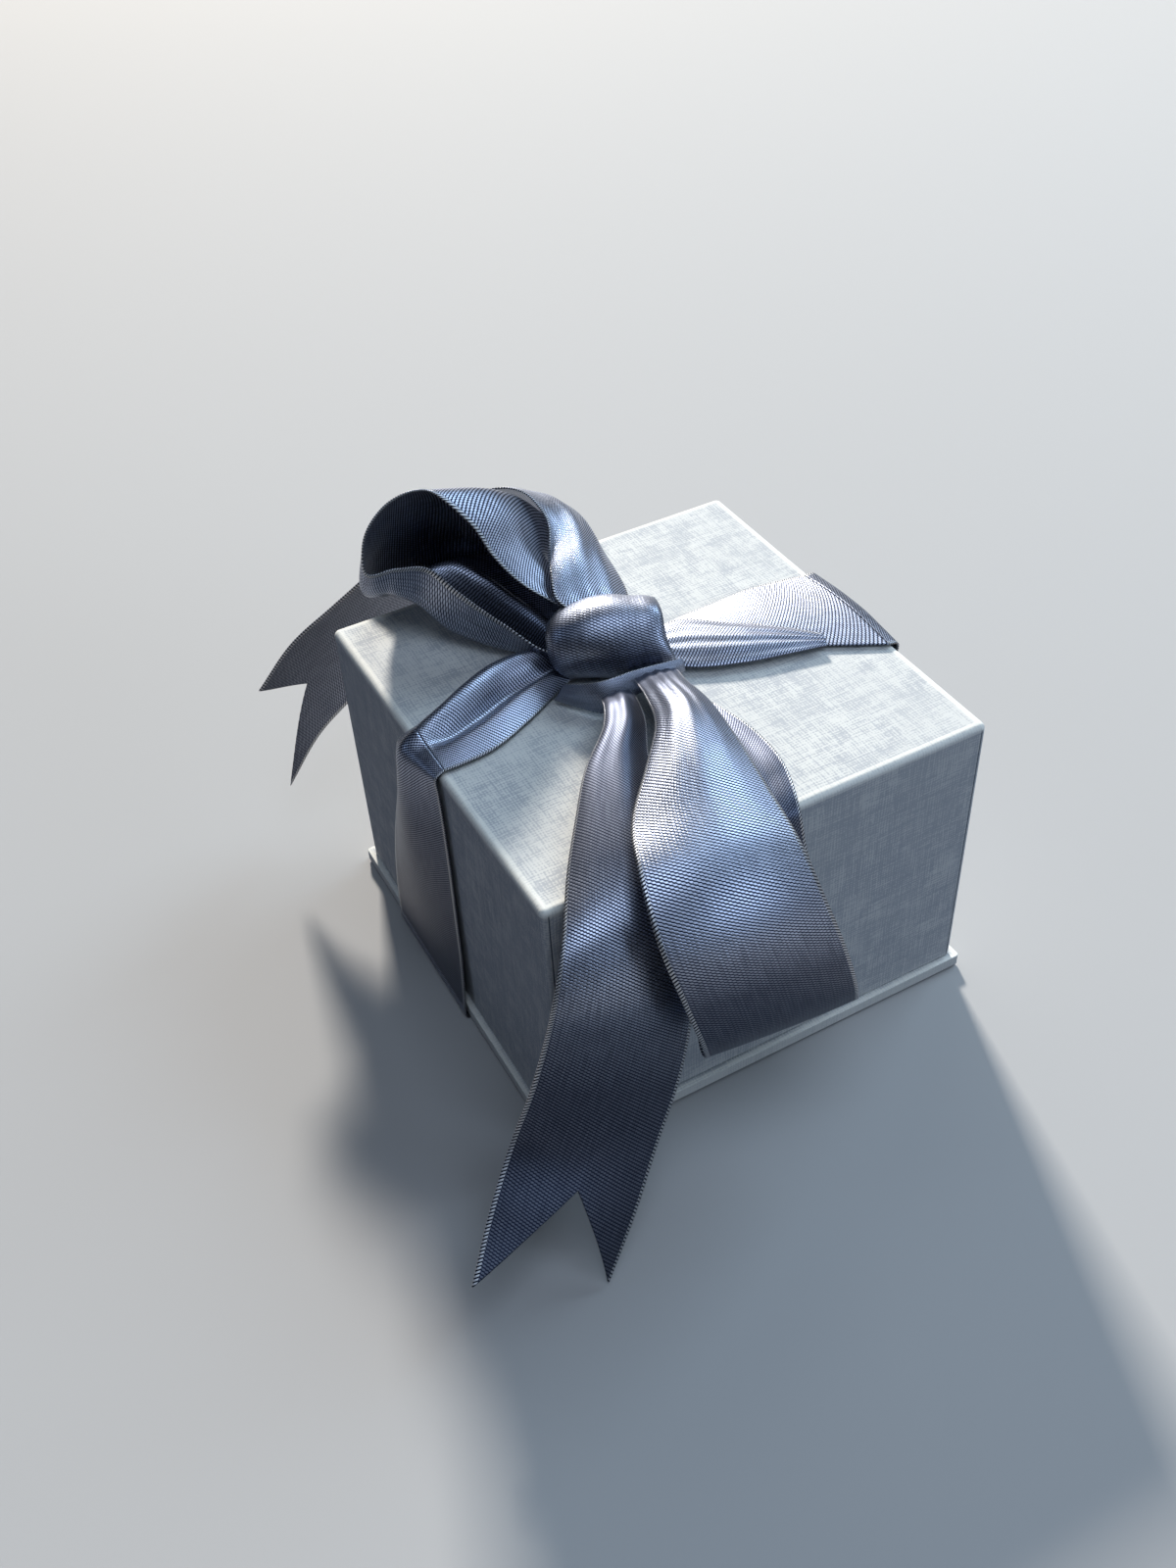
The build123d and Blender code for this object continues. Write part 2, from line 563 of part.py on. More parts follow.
with BuildPart() as ribbon_tail_back:
    add(strip(tail_back_rows))
    add(notch(tail_back_rows, back_notch), mode=Mode.SUBTRACT)
    add(ribbon_knot.part, mode=Mode.SUBTRACT)
ribbon_tail_back.part.label = "ribbon_tail_back"

pieces = [
    lid_board,
    lid_corner_stays,
    lid_wrap,
    lid_lining,
    lid_pad,
    base_board,
    base_wrap,
    base_underside_paper,
    tray_board,
    tray_corner_stays,
    tray_wrap,
    tray_lining,
    insert_foam,
    insert_cover,
    ribbon_knot,
    ribbon_knot_fold,
    ribbon_band_top_left,
    ribbon_band_left,
    ribbon_band_top_right,
    ribbon_band_right,
    ribbon_under_strap,
    ribbon_loop_left,
    ribbon_loop_front,
    ribbon_tail_front,
    ribbon_tail_back,
]
for piece in pieces:
    export_step(piece.part, f"parts/{piece.part.label}.step")
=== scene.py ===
# A presentation box tied with a satin ribbon, dressed round its solids. Metres, Z up, front towards -Y.
import math

import bmesh
import bpy
import numpy as np
from mathutils import Matrix, Vector


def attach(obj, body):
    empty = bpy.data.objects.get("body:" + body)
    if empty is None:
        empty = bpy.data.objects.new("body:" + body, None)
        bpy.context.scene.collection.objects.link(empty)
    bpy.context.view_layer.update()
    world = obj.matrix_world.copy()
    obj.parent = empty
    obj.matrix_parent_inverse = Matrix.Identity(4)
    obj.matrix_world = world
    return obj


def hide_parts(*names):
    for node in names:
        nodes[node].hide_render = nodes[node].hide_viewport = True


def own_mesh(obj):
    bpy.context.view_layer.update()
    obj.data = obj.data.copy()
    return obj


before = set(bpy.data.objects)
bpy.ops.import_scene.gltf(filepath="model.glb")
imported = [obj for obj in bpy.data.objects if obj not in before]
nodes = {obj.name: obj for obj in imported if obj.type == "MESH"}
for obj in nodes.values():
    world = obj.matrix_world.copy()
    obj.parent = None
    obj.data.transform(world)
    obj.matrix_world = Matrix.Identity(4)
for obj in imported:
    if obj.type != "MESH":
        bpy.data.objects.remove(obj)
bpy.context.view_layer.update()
mm = 0.001

# Where the photograph was taken from
view = {
    "place": (-0.08778, -0.15650, 0.19086),
    "right": (0.876, -0.480, -0.045),
    "up": (0.352, 0.572, 0.741),
    "back": (-0.330, -0.665, 0.670),
    "lens": 35.70,
    "sensorWidth": 36,
    "nearest": 0.01,
}
cameraData = bpy.data.cameras.new("camera")
cameraData.lens = view["lens"]
cameraData.sensor_width = view["sensorWidth"]
cameraData.clip_start = view["nearest"]
camera = bpy.data.objects.new("camera", cameraData)
bpy.context.scene.collection.objects.link(camera)
turn = Matrix((view["right"], view["up"], view["back"])).transposed()
camera.matrix_world = Matrix.Translation(view["place"]) @ turn.to_quaternion().to_matrix().to_4x4()
bpy.context.scene.camera = camera
print("camera set")


# The ribbon's make, in mm; its columns stand closer together at the selvedges
ribbon = {
    "width": 25.0,
    "thickness": 0.24,
    "rowStep": 0.3,
    "edgeColumns": (0.0, 0.014, 0.03, 0.046, 0.066),
    "innerColumns": 19,
}


def startMaterial(name, color, roughness):
    made = bpy.data.materials.new(name)
    made.use_nodes = True
    tree = made.node_tree
    shader = tree.nodes["Principled BSDF"]
    shader.inputs["Base Color"].default_value = (*color, 1)
    shader.inputs["Roughness"].default_value = roughness
    return made, tree, shader


def addNode(tree, kind, **values):
    # Values whose names are sockets go there, and the rest are the node's own settings
    node = tree.nodes.new(kind)
    for name, value in values.items():
        if hasattr(node, name):
            setattr(node, name, value)
        else:
            node.inputs[name.replace("_", " ")].default_value = value
    return node


def doMath(tree, operation, first, second=None, third=None):
    node = tree.nodes.new("ShaderNodeMath")
    node.operation = operation
    for place, value in enumerate((first, second, third)):
        if value is None:
            continue
        if isinstance(value, (int, float)):
            node.inputs[place].default_value = value
        else:
            tree.links.new(value, node.inputs[place])
    return node.outputs[0]


def fade(tree, value, start, end, low=0.0, high=1.0):
    node = tree.nodes.new("ShaderNodeMapRange")
    node.interpolation_type = "SMOOTHSTEP"
    tree.links.new(value, node.inputs["Value"])
    for name, number in (("From Min", start), ("From Max", end), ("To Min", low), ("To Max", high)):
        node.inputs[name].default_value = number
    return node.outputs[0]


def mixColors(tree, share, first, second):
    node = tree.nodes.new("ShaderNodeMix")
    node.data_type = "RGBA"
    for name, value in (("Factor", share), ("A", first), ("B", second)):
        socket = [s for s in node.inputs if s.name == name and s.enabled][0]
        if isinstance(value, (int, float)):
            socket.default_value = value
        elif isinstance(value, tuple):
            socket.default_value = (*value, 1)
        else:
            tree.links.new(value, socket)
    return [s for s in node.outputs if s.enabled][0]


noiseLook = {"seedShift": (1.0, 1.7, 0.6), "roughness": 0.55}


def threadNoise(tree, coordinates, scale, detail=2.0, seed=0.0):
    # Noise drawn out along the axis with the small scale
    shift = tuple(seed * part for part in noiseLook["seedShift"])
    mapping = addNode(tree, "ShaderNodeMapping", Scale=scale, Location=shift)
    tree.links.new(coordinates, mapping.inputs["Vector"])
    noise = addNode(tree, "ShaderNodeTexNoise", Scale=1.0, Detail=detail, Roughness=noiseLook["roughness"])
    tree.links.new(mapping.outputs[0], noise.inputs["Vector"])
    return noise.outputs["Fac"]


def addBump(tree, shader, height, distance, strength=1.0):
    bump = addNode(tree, "ShaderNodeBump", Strength=strength, Distance=distance)
    tree.links.new(height, bump.inputs["Height"])
    tree.links.new(bump.outputs[0], shader.inputs["Normal"])


# Each fade is where it starts and ends, then its values there if they aren't 0 and 1
linen = {
    "color": (0.475, 0.48, 0.475),
    "lightThread": (0.60, 0.60, 0.57),
    "darkThread": (0.37, 0.385, 0.405),
    "edgeHighlightColor": (0.68, 0.67, 0.62),
    "seamColor": (0.04, 0.05, 0.07),
    "threadPitch": 0.30 * mm,
    "threadLength": 5 * mm,
    "threadSeeds": (3.1, 7.7, 12.3),
    "threadFade": (0.43, 0.57),
    "weavePitch": 0.46 * mm,
    "weaveShare": 0.13,
    "wanderScale": 260,
    "wanderSeed": 2.2,
    "wanderTurn": 9.0,
    "cloudScale": 60,
    "cloudSeed": 1.9,
    "cloudFade": (0.35, 0.7, 0.15, 0.4),
    "edgeHighlightFade": (0.35, 0.55, 0.6, 1.0),
    "roughFade": (0.35, 0.65, 0.68, 0.54),
    "relief": 0.03 * mm,
    "seamDepth": 0.6,
    "roughness": 0.60,
    "specular": 0.03,
}
# Where each wrap's rolled edges catch the light, painted lighter as a highlight: half width, heights between,
# and where its corners join
lidEdge = {"halfWidth": 33.7 * mm, "bottom": 48.9 * mm, "top": 51 * mm, "seam": 34.05 * mm}
plateEdge = {"halfWidth": 35.3 * mm, "bottom": 0.2 * mm, "top": 3.0 * mm, "seam": 0.0}
# How softly those bounds fade, and the seam's width, reach past the corner and upper end
edgeSoft = {
    "side": 0.25 * mm,
    "bottom": 0.2 * mm,
    "top": 0.1 * mm,
    "seamWidth": (0.05 * mm, 0.14 * mm, 0.8, 0),
    "seamReach": 0.3 * mm,
    "seamTop": (49.0 * mm, 49.4 * mm, 1, 0),
}


def multiply(tree, first, *others):
    for other in others:
        first = doMath(tree, "MULTIPLY", first, other)
    return first


def linenThreads(tree, where, places, look):
    # Crossed threads of uneven length: along each axis a regular wave and noise drawn out across it
    fine, slow = 1 / look["threadPitch"], 1 / look["threadLength"]
    wander = threadNoise(tree, where, (look["wanderScale"],) * 3, detail=1.0, seed=look["wanderSeed"])
    threads = None
    for axis, turns in enumerate(((slow, fine, fine), (fine, slow, fine), (fine, fine, slow))):
        uneven = threadNoise(tree, where, turns, seed=look["threadSeeds"][axis])
        wave = doMath(tree, "MULTIPLY", places[axis], 2 * math.pi / look["weavePitch"])
        wave = doMath(tree, "SINE", doMath(tree, "MULTIPLY_ADD", wander, look["wanderTurn"], wave))
        strand = doMath(tree, "MULTIPLY_ADD", wave, look["weaveShare"], uneven)
        threads = strand if threads is None else doMath(tree, "ADD", threads, strand)
    return doMath(tree, "MULTIPLY", threads, 1 / 3)


def makeLinen(name, look, edge=None):
    made, tree, shader = startMaterial(name, look["color"], look["roughness"])
    where = addNode(tree, "ShaderNodeTexCoord").outputs["Object"]
    split = tree.nodes.new("ShaderNodeSeparateXYZ")
    tree.links.new(where, split.inputs[0])
    places = split.outputs
    threads = linenThreads(tree, where, places, look)
    cloud = threadNoise(tree, where, (look["cloudScale"],) * 3, detail=3.0, seed=look["cloudSeed"])
    color = mixColors(tree, fade(tree, threads, *look["threadFade"]), look["darkThread"], look["lightThread"])
    color = mixColors(tree, fade(tree, cloud, *look["cloudFade"]), color, look["color"])
    if edge:
        away = [doMath(tree, "ABSOLUTE", places[axis]) for axis in (0, 1)]
        furthest = doMath(tree, "MAXIMUM", *away)
        side, bottom = edge["halfWidth"], edge["bottom"]
        onEdge = fade(tree, furthest, side - edgeSoft["side"], side + edgeSoft["side"])
        above = fade(tree, places[2], bottom - edgeSoft["bottom"], bottom + edgeSoft["bottom"])
        below = fade(tree, places[2], edge["top"], edge["top"] + edgeSoft["top"], 1, 0)
        # painted highlight: the rolled edges are lightened where they catch the light, unevenly with the
        # threads
        edgeHighlight = multiply(tree, onEdge, above, below, fade(tree, threads, *look["edgeHighlightFade"]))
        color = mixColors(tree, edgeHighlight, color, look["edgeHighlightColor"])
        if edge["seam"]:
            besideSeam = doMath(tree, "ABSOLUTE", doMath(tree, "SUBTRACT", away[0], edge["seam"]))
            atCorner = fade(tree, away[1], edge["seam"], edge["seam"] + edgeSoft["seamReach"])
            seam = fade(tree, besideSeam, *edgeSoft["seamWidth"])
            seam = multiply(tree, seam, atCorner, fade(tree, places[2], *edgeSoft["seamTop"]))
            color = mixColors(tree, seam, color, look["seamColor"])
            threads = doMath(tree, "MULTIPLY_ADD", seam, -look["seamDepth"], threads)
    tree.links.new(color, shader.inputs["Base Color"])
    tree.links.new(fade(tree, threads, *look["roughFade"]), shader.inputs["Roughness"])
    shader.inputs["Specular IOR Level"].default_value = look["specular"]
    addBump(tree, shader, threads, look["relief"])
    return made


satin = {
    "color": (0.052, 0.066, 0.105),
    "dashColor": (0.465, 0.505, 0.62),
    "gapColor": (0.012, 0.016, 0.034),
    "acrossPitch": 0.54 * mm,
    "alongPitch": 0.47 * mm,
    "falling": 1.28,
    "rising": 0.72,
    "columns": 0.35,
    "dashFade": (-1.05, 0.85),
    "yarnScale": (1900, 260, 1),
    "yarnFade": (0.3, 0.65, 0.72, 1.0),
    "edgeLight": (0.50, 0.51, 0.54),
    "edgeDark": (0.010, 0.012, 0.022),
    "edgeWidth": 0.68 * mm,
    "edgeStart": 0.85,
    "edgePitch": 0.50 * mm,
    "stitchSlant": 0.7,
    "stitchFade": (0.18, 0.34, 1, 0),
    "relief": 0.020 * mm,
    "reliefStrength": 0.8,
    "metallic": 0.96,
    "roughFade": (0.0, 1.0, 0.46, 0.36),
    "roughness": 0.36,
    "specular": 0.7,
    "sheen": 0.05,
    "sheenRoughness": 0.4,
    "sheenTint": (0.75, 0.82, 1.0, 1),
}


def makeSatin(name, look):
    # Floats in slanting ranks between stitched selvedges. The map "lay" holds metres across and along.
    made, tree, shader = startMaterial(name, look["color"], look["roughness"])
    lay = addNode(tree, "ShaderNodeUVMap", uv_map="lay").outputs[0]
    split = tree.nodes.new("ShaderNodeSeparateXYZ")
    tree.links.new(lay, split.inputs[0])
    across, along = split.outputs[0], split.outputs[1]
    # the floats lie half a step apart from column to column, and the falling ranks show most
    sideways = doMath(tree, "MULTIPLY", across, math.pi / look["acrossPitch"])
    lengthways = doMath(tree, "MULTIPLY", along, 2 * math.pi / look["alongPitch"])
    falling = doMath(tree, "COSINE", doMath(tree, "SUBTRACT", lengthways, sideways))
    rising = doMath(tree, "COSINE", doMath(tree, "ADD", lengthways, sideways))
    columns = doMath(tree, "COSINE", doMath(tree, "MULTIPLY", sideways, 2.0))
    floats = doMath(tree, "MULTIPLY", falling, look["falling"])
    floats = doMath(tree, "MULTIPLY_ADD", rising, look["rising"], floats)
    floats = doMath(tree, "MULTIPLY_ADD", columns, look["columns"], floats)
    yarn = addNode(tree, "ShaderNodeTexNoise", Scale=1.0, Detail=2.0)
    stretched = addNode(tree, "ShaderNodeMapping", Scale=look["yarnScale"])
    tree.links.new(lay, stretched.inputs["Vector"])
    tree.links.new(stretched.outputs[0], yarn.inputs["Vector"])
    # painted shade and painted highlight: each piece's own points darken or lighten the floats along its
    # length
    paintedShadeAndLight = addNode(tree, "ShaderNodeAttribute", attribute_name="paintedShadeAndLight").outputs["Fac"]
    dash = fade(tree, floats, *look["dashFade"])
    dash = multiply(tree, dash, fade(tree, yarn.outputs["Fac"], *look["yarnFade"]), paintedShadeAndLight)
    body = mixColors(tree, dash, look["gapColor"], look["dashColor"])
    # selvedge: slanting stitches, light between dark
    fromFar = doMath(tree, "SUBTRACT", ribbon["width"] * mm, across)
    fromEdge = doMath(tree, "MINIMUM", across, fromFar)
    onEdge = fade(tree, fromEdge, look["edgeWidth"] * look["edgeStart"], look["edgeWidth"], 1, 0)
    stitch = doMath(tree, "MULTIPLY", along, 1 / look["edgePitch"])
    stitch = doMath(tree, "MULTIPLY_ADD", fromEdge, look["stitchSlant"] / look["edgeWidth"], stitch)
    stitchPart = doMath(tree, "ABSOLUTE", doMath(tree, "SUBTRACT", doMath(tree, "FRACT", stitch), 0.5))
    stitchMask = fade(tree, stitchPart, *look["stitchFade"])
    edge = mixColors(tree, stitchMask, look["edgeDark"], look["edgeLight"])
    tree.links.new(mixColors(tree, onEdge, body, edge), shader.inputs["Base Color"])
    height = mixColors(tree, onEdge, dash, stitchMask)
    addBump(tree, shader, height, look["relief"], look["reliefStrength"])
    tree.links.new(fade(tree, dash, *look["roughFade"]), shader.inputs["Roughness"])
    shader.inputs["Metallic"].default_value = look["metallic"]
    shader.inputs["Specular IOR Level"].default_value = look["specular"]
    shader.inputs["Sheen Weight"].default_value = look["sheen"]
    shader.inputs["Sheen Roughness"].default_value = look["sheenRoughness"]
    shader.inputs["Sheen Tint"].default_value = look["sheenTint"]
    return made


paper = {"detail": 4.0, "fade": (0.3, 0.7), "darker": 0.86}


def makePaper(name, color, roughness=0.8, grain=700.0, relief=0.01 * mm):
    made, tree, shader = startMaterial(name, color, roughness)
    where = addNode(tree, "ShaderNodeTexCoord").outputs["Object"]
    fibre = threadNoise(tree, where, (grain, grain, grain), detail=paper["detail"])
    darker = tuple(part * paper["darker"] for part in color)
    mixed = mixColors(tree, fade(tree, fibre, *paper["fade"]), darker, color)
    tree.links.new(mixed, shader.inputs["Base Color"])
    addBump(tree, shader, fibre, relief)
    return made


velvetLook = {
    "color": (0.010, 0.013, 0.032),
    "darker": 0.55,
    "pileScale": (2600, 2600, 2600),
    "pileFade": (0.3, 0.7),
    "brushScale": (110, 160, 110),
    "brushSeed": 4.4,
    "brushFade": (0.3, 0.7, 0.5, 1.0),
    "roughness": 0.9,
    "sheen": 0.7,
    "sheenRoughness": 0.35,
    "relief": 0.06 * mm,
}


def makeVelvet(name, look):
    made, tree, shader = startMaterial(name, look["color"], look["roughness"])
    where = addNode(tree, "ShaderNodeTexCoord").outputs["Object"]
    pile = threadNoise(tree, where, look["pileScale"])
    brushed = threadNoise(tree, where, look["brushScale"], detail=3.0, seed=look["brushSeed"])
    deep = tuple(part * look["darker"] for part in look["color"])
    share = multiply(tree, fade(tree, pile, *look["pileFade"]), fade(tree, brushed, *look["brushFade"]))
    tree.links.new(mixColors(tree, share, deep, look["color"]), shader.inputs["Base Color"])
    shader.inputs["Sheen Weight"].default_value = look["sheen"]
    shader.inputs["Sheen Roughness"].default_value = look["sheenRoughness"]
    addBump(tree, shader, pile, look["relief"])
    return made


linenPaper = makeLinen("linenPaper", linen)
lidPaper = makeLinen("lidPaper", linen, lidEdge)
platePaper = makeLinen("platePaper", linen, plateEdge)
satinRibbon = makeSatin("satinRibbon", satin)
greyboard = makePaper("greyboard", (0.30, 0.28, 0.25), 0.9, 500.0, 0.03 * mm)
stayPaper = makePaper("stayPaper", (0.70, 0.68, 0.63))
liningPaper = makePaper("liningPaper", (0.62, 0.64, 0.67), 0.6)
undersidePaper = makePaper("undersidePaper", (0.05, 0.06, 0.08), 0.7)
padSatin = makePaper("padSatin", (0.66, 0.68, 0.72), 0.35, 1200.0, 0.008 * mm)
foamGrey = makePaper("foamGrey", (0.02, 0.02, 0.022), 0.95, 1500.0, 0.12 * mm)
velvet = makeVelvet("velvet", velvetLook)
cadFinish = {
    "lid_wrap": lidPaper,
    "base_wrap": platePaper,
    "tray_wrap": linenPaper,
    "lid_board": greyboard,
    "tray_board": greyboard,
    "base_board": greyboard,
    "lid_corner_stays": stayPaper,
    "tray_corner_stays": stayPaper,
    "lid_lining": liningPaper,
    "tray_lining": liningPaper,
    "base_underside_paper": undersidePaper,
    "lid_pad": padSatin,
    "insert_foam": foamGrey,
    "insert_cover": velvet,
}
for nodeName, finish in cadFinish.items():
    nodes[nodeName].data.materials.clear()
    nodes[nodeName].data.materials.append(finish)
print("materials made")


def columnPlaces():
    edge = np.array(ribbon["edgeColumns"])
    inner = np.linspace(edge[-1], 1 - edge[-1], ribbon["innerColumns"] + 2)[1:-1]
    return np.concatenate([edge, inner, 1 - edge[::-1]])


def crossHeights(heights, places):
    # The ribbon's height over the line between its selvedges, an arc for one height and a smooth run for more
    if len(heights) == 1:
        return heights[0] * 4 * places * (1 - places)
    knots = np.linspace(0, 1, len(heights) + 2)
    values = np.array([0, *heights, 0], float)
    return smoothRun(knots, values[:, None], places)[:, 0]


def smoothRun(knots, values, at):
    # A smooth curve through every value
    slopes = np.gradient(values, knots, axis=0)
    index = np.clip(np.searchsorted(knots, at, side="right") - 1, 0, len(knots) - 2)
    span = (knots[index + 1] - knots[index])[:, None]
    t = (at - knots[index])[:, None] / span
    return (
        (2 * t**3 - 3 * t**2 + 1) * values[index]
        + (t**3 - 2 * t**2 + t) * span * slopes[index]
        + (3 * t**2 - 2 * t**3) * values[index + 1]
        + (t**3 - t**2) * span * slopes[index + 1]
    )


# Gathered cloth keeps its width in pleats, and a swallowtail is drawn back over its last part
gather = {"flatShare": 0.96, "fadeShare": 1.35, "phase": 0.6, "ease": 0.6, "pleats": 3, "notchRun": 2.2}


def ribbonGrid(look):
    # Each station gives both selvedges, the outer side and the heights of the ribbon between them, in mm
    rows, places = look["rows"], columnPlaces()
    near, far, outward = (np.array([row[part] for row in rows], float) for part in range(3))
    outward /= np.linalg.norm(outward, axis=1)[:, None]
    crown = np.array([crossHeights(row[3], places) for row in rows])
    middle = (near + far) / 2 + outward * crown[:, len(places) // 2][:, None]
    knots = np.concatenate([[0], np.cumsum(np.linalg.norm(np.diff(middle, axis=0), axis=1))])
    length = knots[-1]
    count = max(4, int(round(length / ribbon["rowStep"])))
    at = np.linspace(0, length, count + 1)
    near, far, outward, crown = (smoothRun(knots, part, at) for part in (near, far, outward, crown))
    across = far - near
    width = np.linalg.norm(across, axis=1)
    across /= width[:, None]
    outward -= across * (outward * across).sum(1)[:, None]
    outward /= np.linalg.norm(outward, axis=1)[:, None]
    pleats = look.get("pleats", gather["pleats"])
    spare = np.clip(ribbon["width"] * gather["flatShare"] - width, 0, None)
    size = np.minimum(np.sqrt(spare * width) / (math.pi * pleats), look.get("pleatHeight", 0))
    size *= np.clip(gather["fadeShare"] - width / ribbon["width"] * gather["fadeShare"], 0, 1)
    wave = np.sin(2 * math.pi * pleats * places + gather["phase"])
    wave *= np.sin(math.pi * places) ** gather["ease"]
    height = crown + size[:, None] * wave[None, :]
    grid = near[:, None, :] + across[:, None, :] * (places[None, :, None] * width[:, None, None])
    grid = grid + outward[:, None, :] * height[:, :, None]
    low, high = look.get("span", (0, ribbon["width"]))
    lay = np.stack(np.broadcast_arrays(low + places[None, :] * (high - low), at[:, None]), -1)
    if "notch" in look:
        run = gather["notchRun"] * look["notch"]
        pull = look["notch"] * (1 - np.abs(2 * places - 1))
        share = np.clip((at - (length - run)) / run, 0, 1)
        source = at[:, None] - pull[None, :] * share[:, None]
        moved = np.empty_like(grid)
        for k in range(len(places)):
            for axis in range(3):
                moved[:, k, axis] = np.interp(source[:, k], at, grid[:, k, axis])
        grid = moved
        lay[:, :, 1] = source
    return grid * mm, lay * mm, length


def makeRibbon(name, look):
    grid, lay, length = ribbonGrid(look) if "rows" in look else knotGrid()
    rowCount, columnCount = grid.shape[0] - 1, grid.shape[1] - 1
    bm = bmesh.new()
    bmesh.ops.create_grid(bm, x_segments=columnCount, y_segments=rowCount, size=1)
    layer = bm.loops.layers.uv.new("lay")
    spots = {}
    # painted shade and highlight: each point gets its share by its length along the piece
    paintedShadeAndLight = bm.verts.layers.float.new("paintedShadeAndLight")
    runs, shares = zip(*look.get("deep", ((0, 1), (1, 1))))
    for vert in bm.verts:
        column = round((vert.co.x + 1) / 2 * columnCount)
        row = round((vert.co.y + 1) / 2 * rowCount)
        spots[vert] = (row, column)
        vert.co = grid[row, column]
        vert[paintedShadeAndLight] = np.interp(lay[row, column, 1] / mm, runs, shares)
    for face in bm.faces:
        face.smooth = True
        for loop in face.loops:
            loop[layer].uv = lay[spots[loop.vert]]
    if look.get("flip"):
        bmesh.ops.reverse_faces(bm, faces=bm.faces)
    mesh = bpy.data.meshes.new(name)
    bm.to_mesh(mesh)
    bm.free()
    piece = bpy.data.objects.new(name, mesh)
    bpy.context.scene.collection.objects.link(piece)
    mesh.materials.append(satinRibbon)
    thick = piece.modifiers.new("thickness", "SOLIDIFY")
    thick.thickness = ribbon["thickness"] * mm
    thick.offset = -1
    thick.use_even_offset = False
    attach(piece, look.get("body", "ribbon"))
    if "node" in look:
        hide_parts(look["node"])
    if "squash" in look:
        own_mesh(piece)
    print(f"{name}: {length:.1f} mm long, {rowCount * columnCount} faces")


leftEdgeRow = ((-34.2, -4.8, 50.6), (-34.6, 5.0, 51.2), (-0.2, 0, 1), (0.6, 1.0, 2.0))
rightEdgeRow = ((33.9, -13.7, 50.5), (33.4, 7.4, 50.6), (0.2, 0, 1), (0.5, 0.8, 0.6))
knotFoldRows = [
    ((-14.2, 0.8, 50.9), (-13.0, -0.4, 54.0), (-0.4, -0.8, 0.4), (0.4,)),
    ((-12.2, -2.2, 50.9), (-11.2, -3.0, 55.0), (-0.3, -0.9, 0.4), (0.6,)),
    ((-9.2, -6.0, 51.1), (-8.3, -4.6, 55.6), (-0.1, -0.9, 0.3), (0.7,)),
    ((-5.2, -6.2, 52.6), (-4.6, -5.2, 56.0), (0.0, -0.9, 0.3), (0.5,)),
    ((-1.2, -6.8, 53.6), (-0.9, -6.0, 56.2), (0.0, -0.9, 0.3), (0.4,)),
    ((2.8, -6.9, 54.3), (2.6, -6.5, 56.2), (0.1, -0.9, 0.3), (0.3,)),
]
bandTopLeftRows = [
    ((-7.0, 4.0, 52.5), (-6.0, 8.0, 52.6), (0, 0, 1), (0.5, 0.7, 0.9)),
    ((-10.8, 3.4, 50.6), (-9.6, 9.0, 51.2), (0, 0, 1), (1.0, 1.3, 1.0, 2.0, 2.4)),
    ((-14.2, 1.5, 50.6), (-13.2, 10.4, 51.0), (0, 0, 1), (1.0, 1.5, 0.3, 2.6, 3.2)),
    ((-19.3, -1.3, 50.6), (-19.0, 10.8, 50.9), (0, 0, 1), (1.0, 1.6, 0.0, 2.8, 3.6)),
    ((-26.5, -4.3, 50.6), (-25.5, 8.5, 50.9), (0, 0, 1), (0.9, 1.4, 0.0, 2.8, 3.6)),
    ((-31.5, -4.8, 50.6), (-31.0, 5.8, 50.9), (0, 0, 1), (0.8, 1.2, 0.3, 2.2, 3.0)),
    leftEdgeRow,
]
bandLeftRows = [
    leftEdgeRow,
    ((-35.5, -5.0, 50.0), (-36.6, 5.0, 50.4), (-0.7, 0, 0.7), (0.6, 1.0, 1.6)),
    ((-35.6, -5.3, 47.5), (-37.2, 5.0, 47.5), (-1, 0, 0), (0.8, 1.4, 1.6)),
    ((-35.6, -5.6, 42.0), (-37.3, 6.4, 41.5), (-1, 0, 0), (1.2, 2.2, 1.8)),
    ((-35.6, -5.7, 34.0), (-37.4, 9.6, 33.0), (-1, 0, 0), (1.4, 2.2, 1.6)),
    ((-35.7, -5.6, 24.0), (-37.2, 13.5, 23.5), (-1, 0, 0), (1.0, 1.6, 1.2)),
    ((-35.9, -5.6, 13.0), (-36.9, 17.0, 12.5), (-1, 0, 0), (0.5, 0.8, 0.6)),
    ((-36.45, -5.5, 2.6), (-36.45, 19.5, 2.6), (-1, 0, 0), (0, 0, 0)),
]
bandTopRightRows = [
    ((3.6, 1.2, 51.2), (4.0, 5.4, 51.6), (0, 0, 1), (0.3,)),
    ((8.0, 3.0, 50.6), (8.6, 7.6, 50.9), (0, 0, 1), (0.4,)),
    ((14.8, -1.8, 50.55), (17.5, 8.6, 50.6), (0, 0, 1), (0.7,)),
    ((21.0, -6.2, 50.55), (24.5, 8.9, 50.55), (0, 0, 1), (0.9,)),
    ((27.3, -9.9, 50.55), (29.5, 8.2, 50.55), (0, 0, 1), (0.8,)),
    rightEdgeRow,
]
bandFoldRows = [
    ((1.4, 0.4, 52.0), (3.0, 4.6, 52.6), (0, 0, 1), (0.4,)),
    ((4.8, -2.8, 51.3), (8.1, 6.1, 52.3), (0, -0.2, 1), (0.9,)),
    ((13.2, -6.8, 51.2), (15.5, 1.5, 52.1), (0, -0.2, 1), (1.0,)),
    ((20.5, -8.6, 51.2), (21.8, -3.3, 51.9), (0, -0.2, 1), (0.5,)),
    ((25.6, -9.7, 51.2), (26.2, -7.6, 51.6), (0, -0.2, 1), (0.2,)),
]
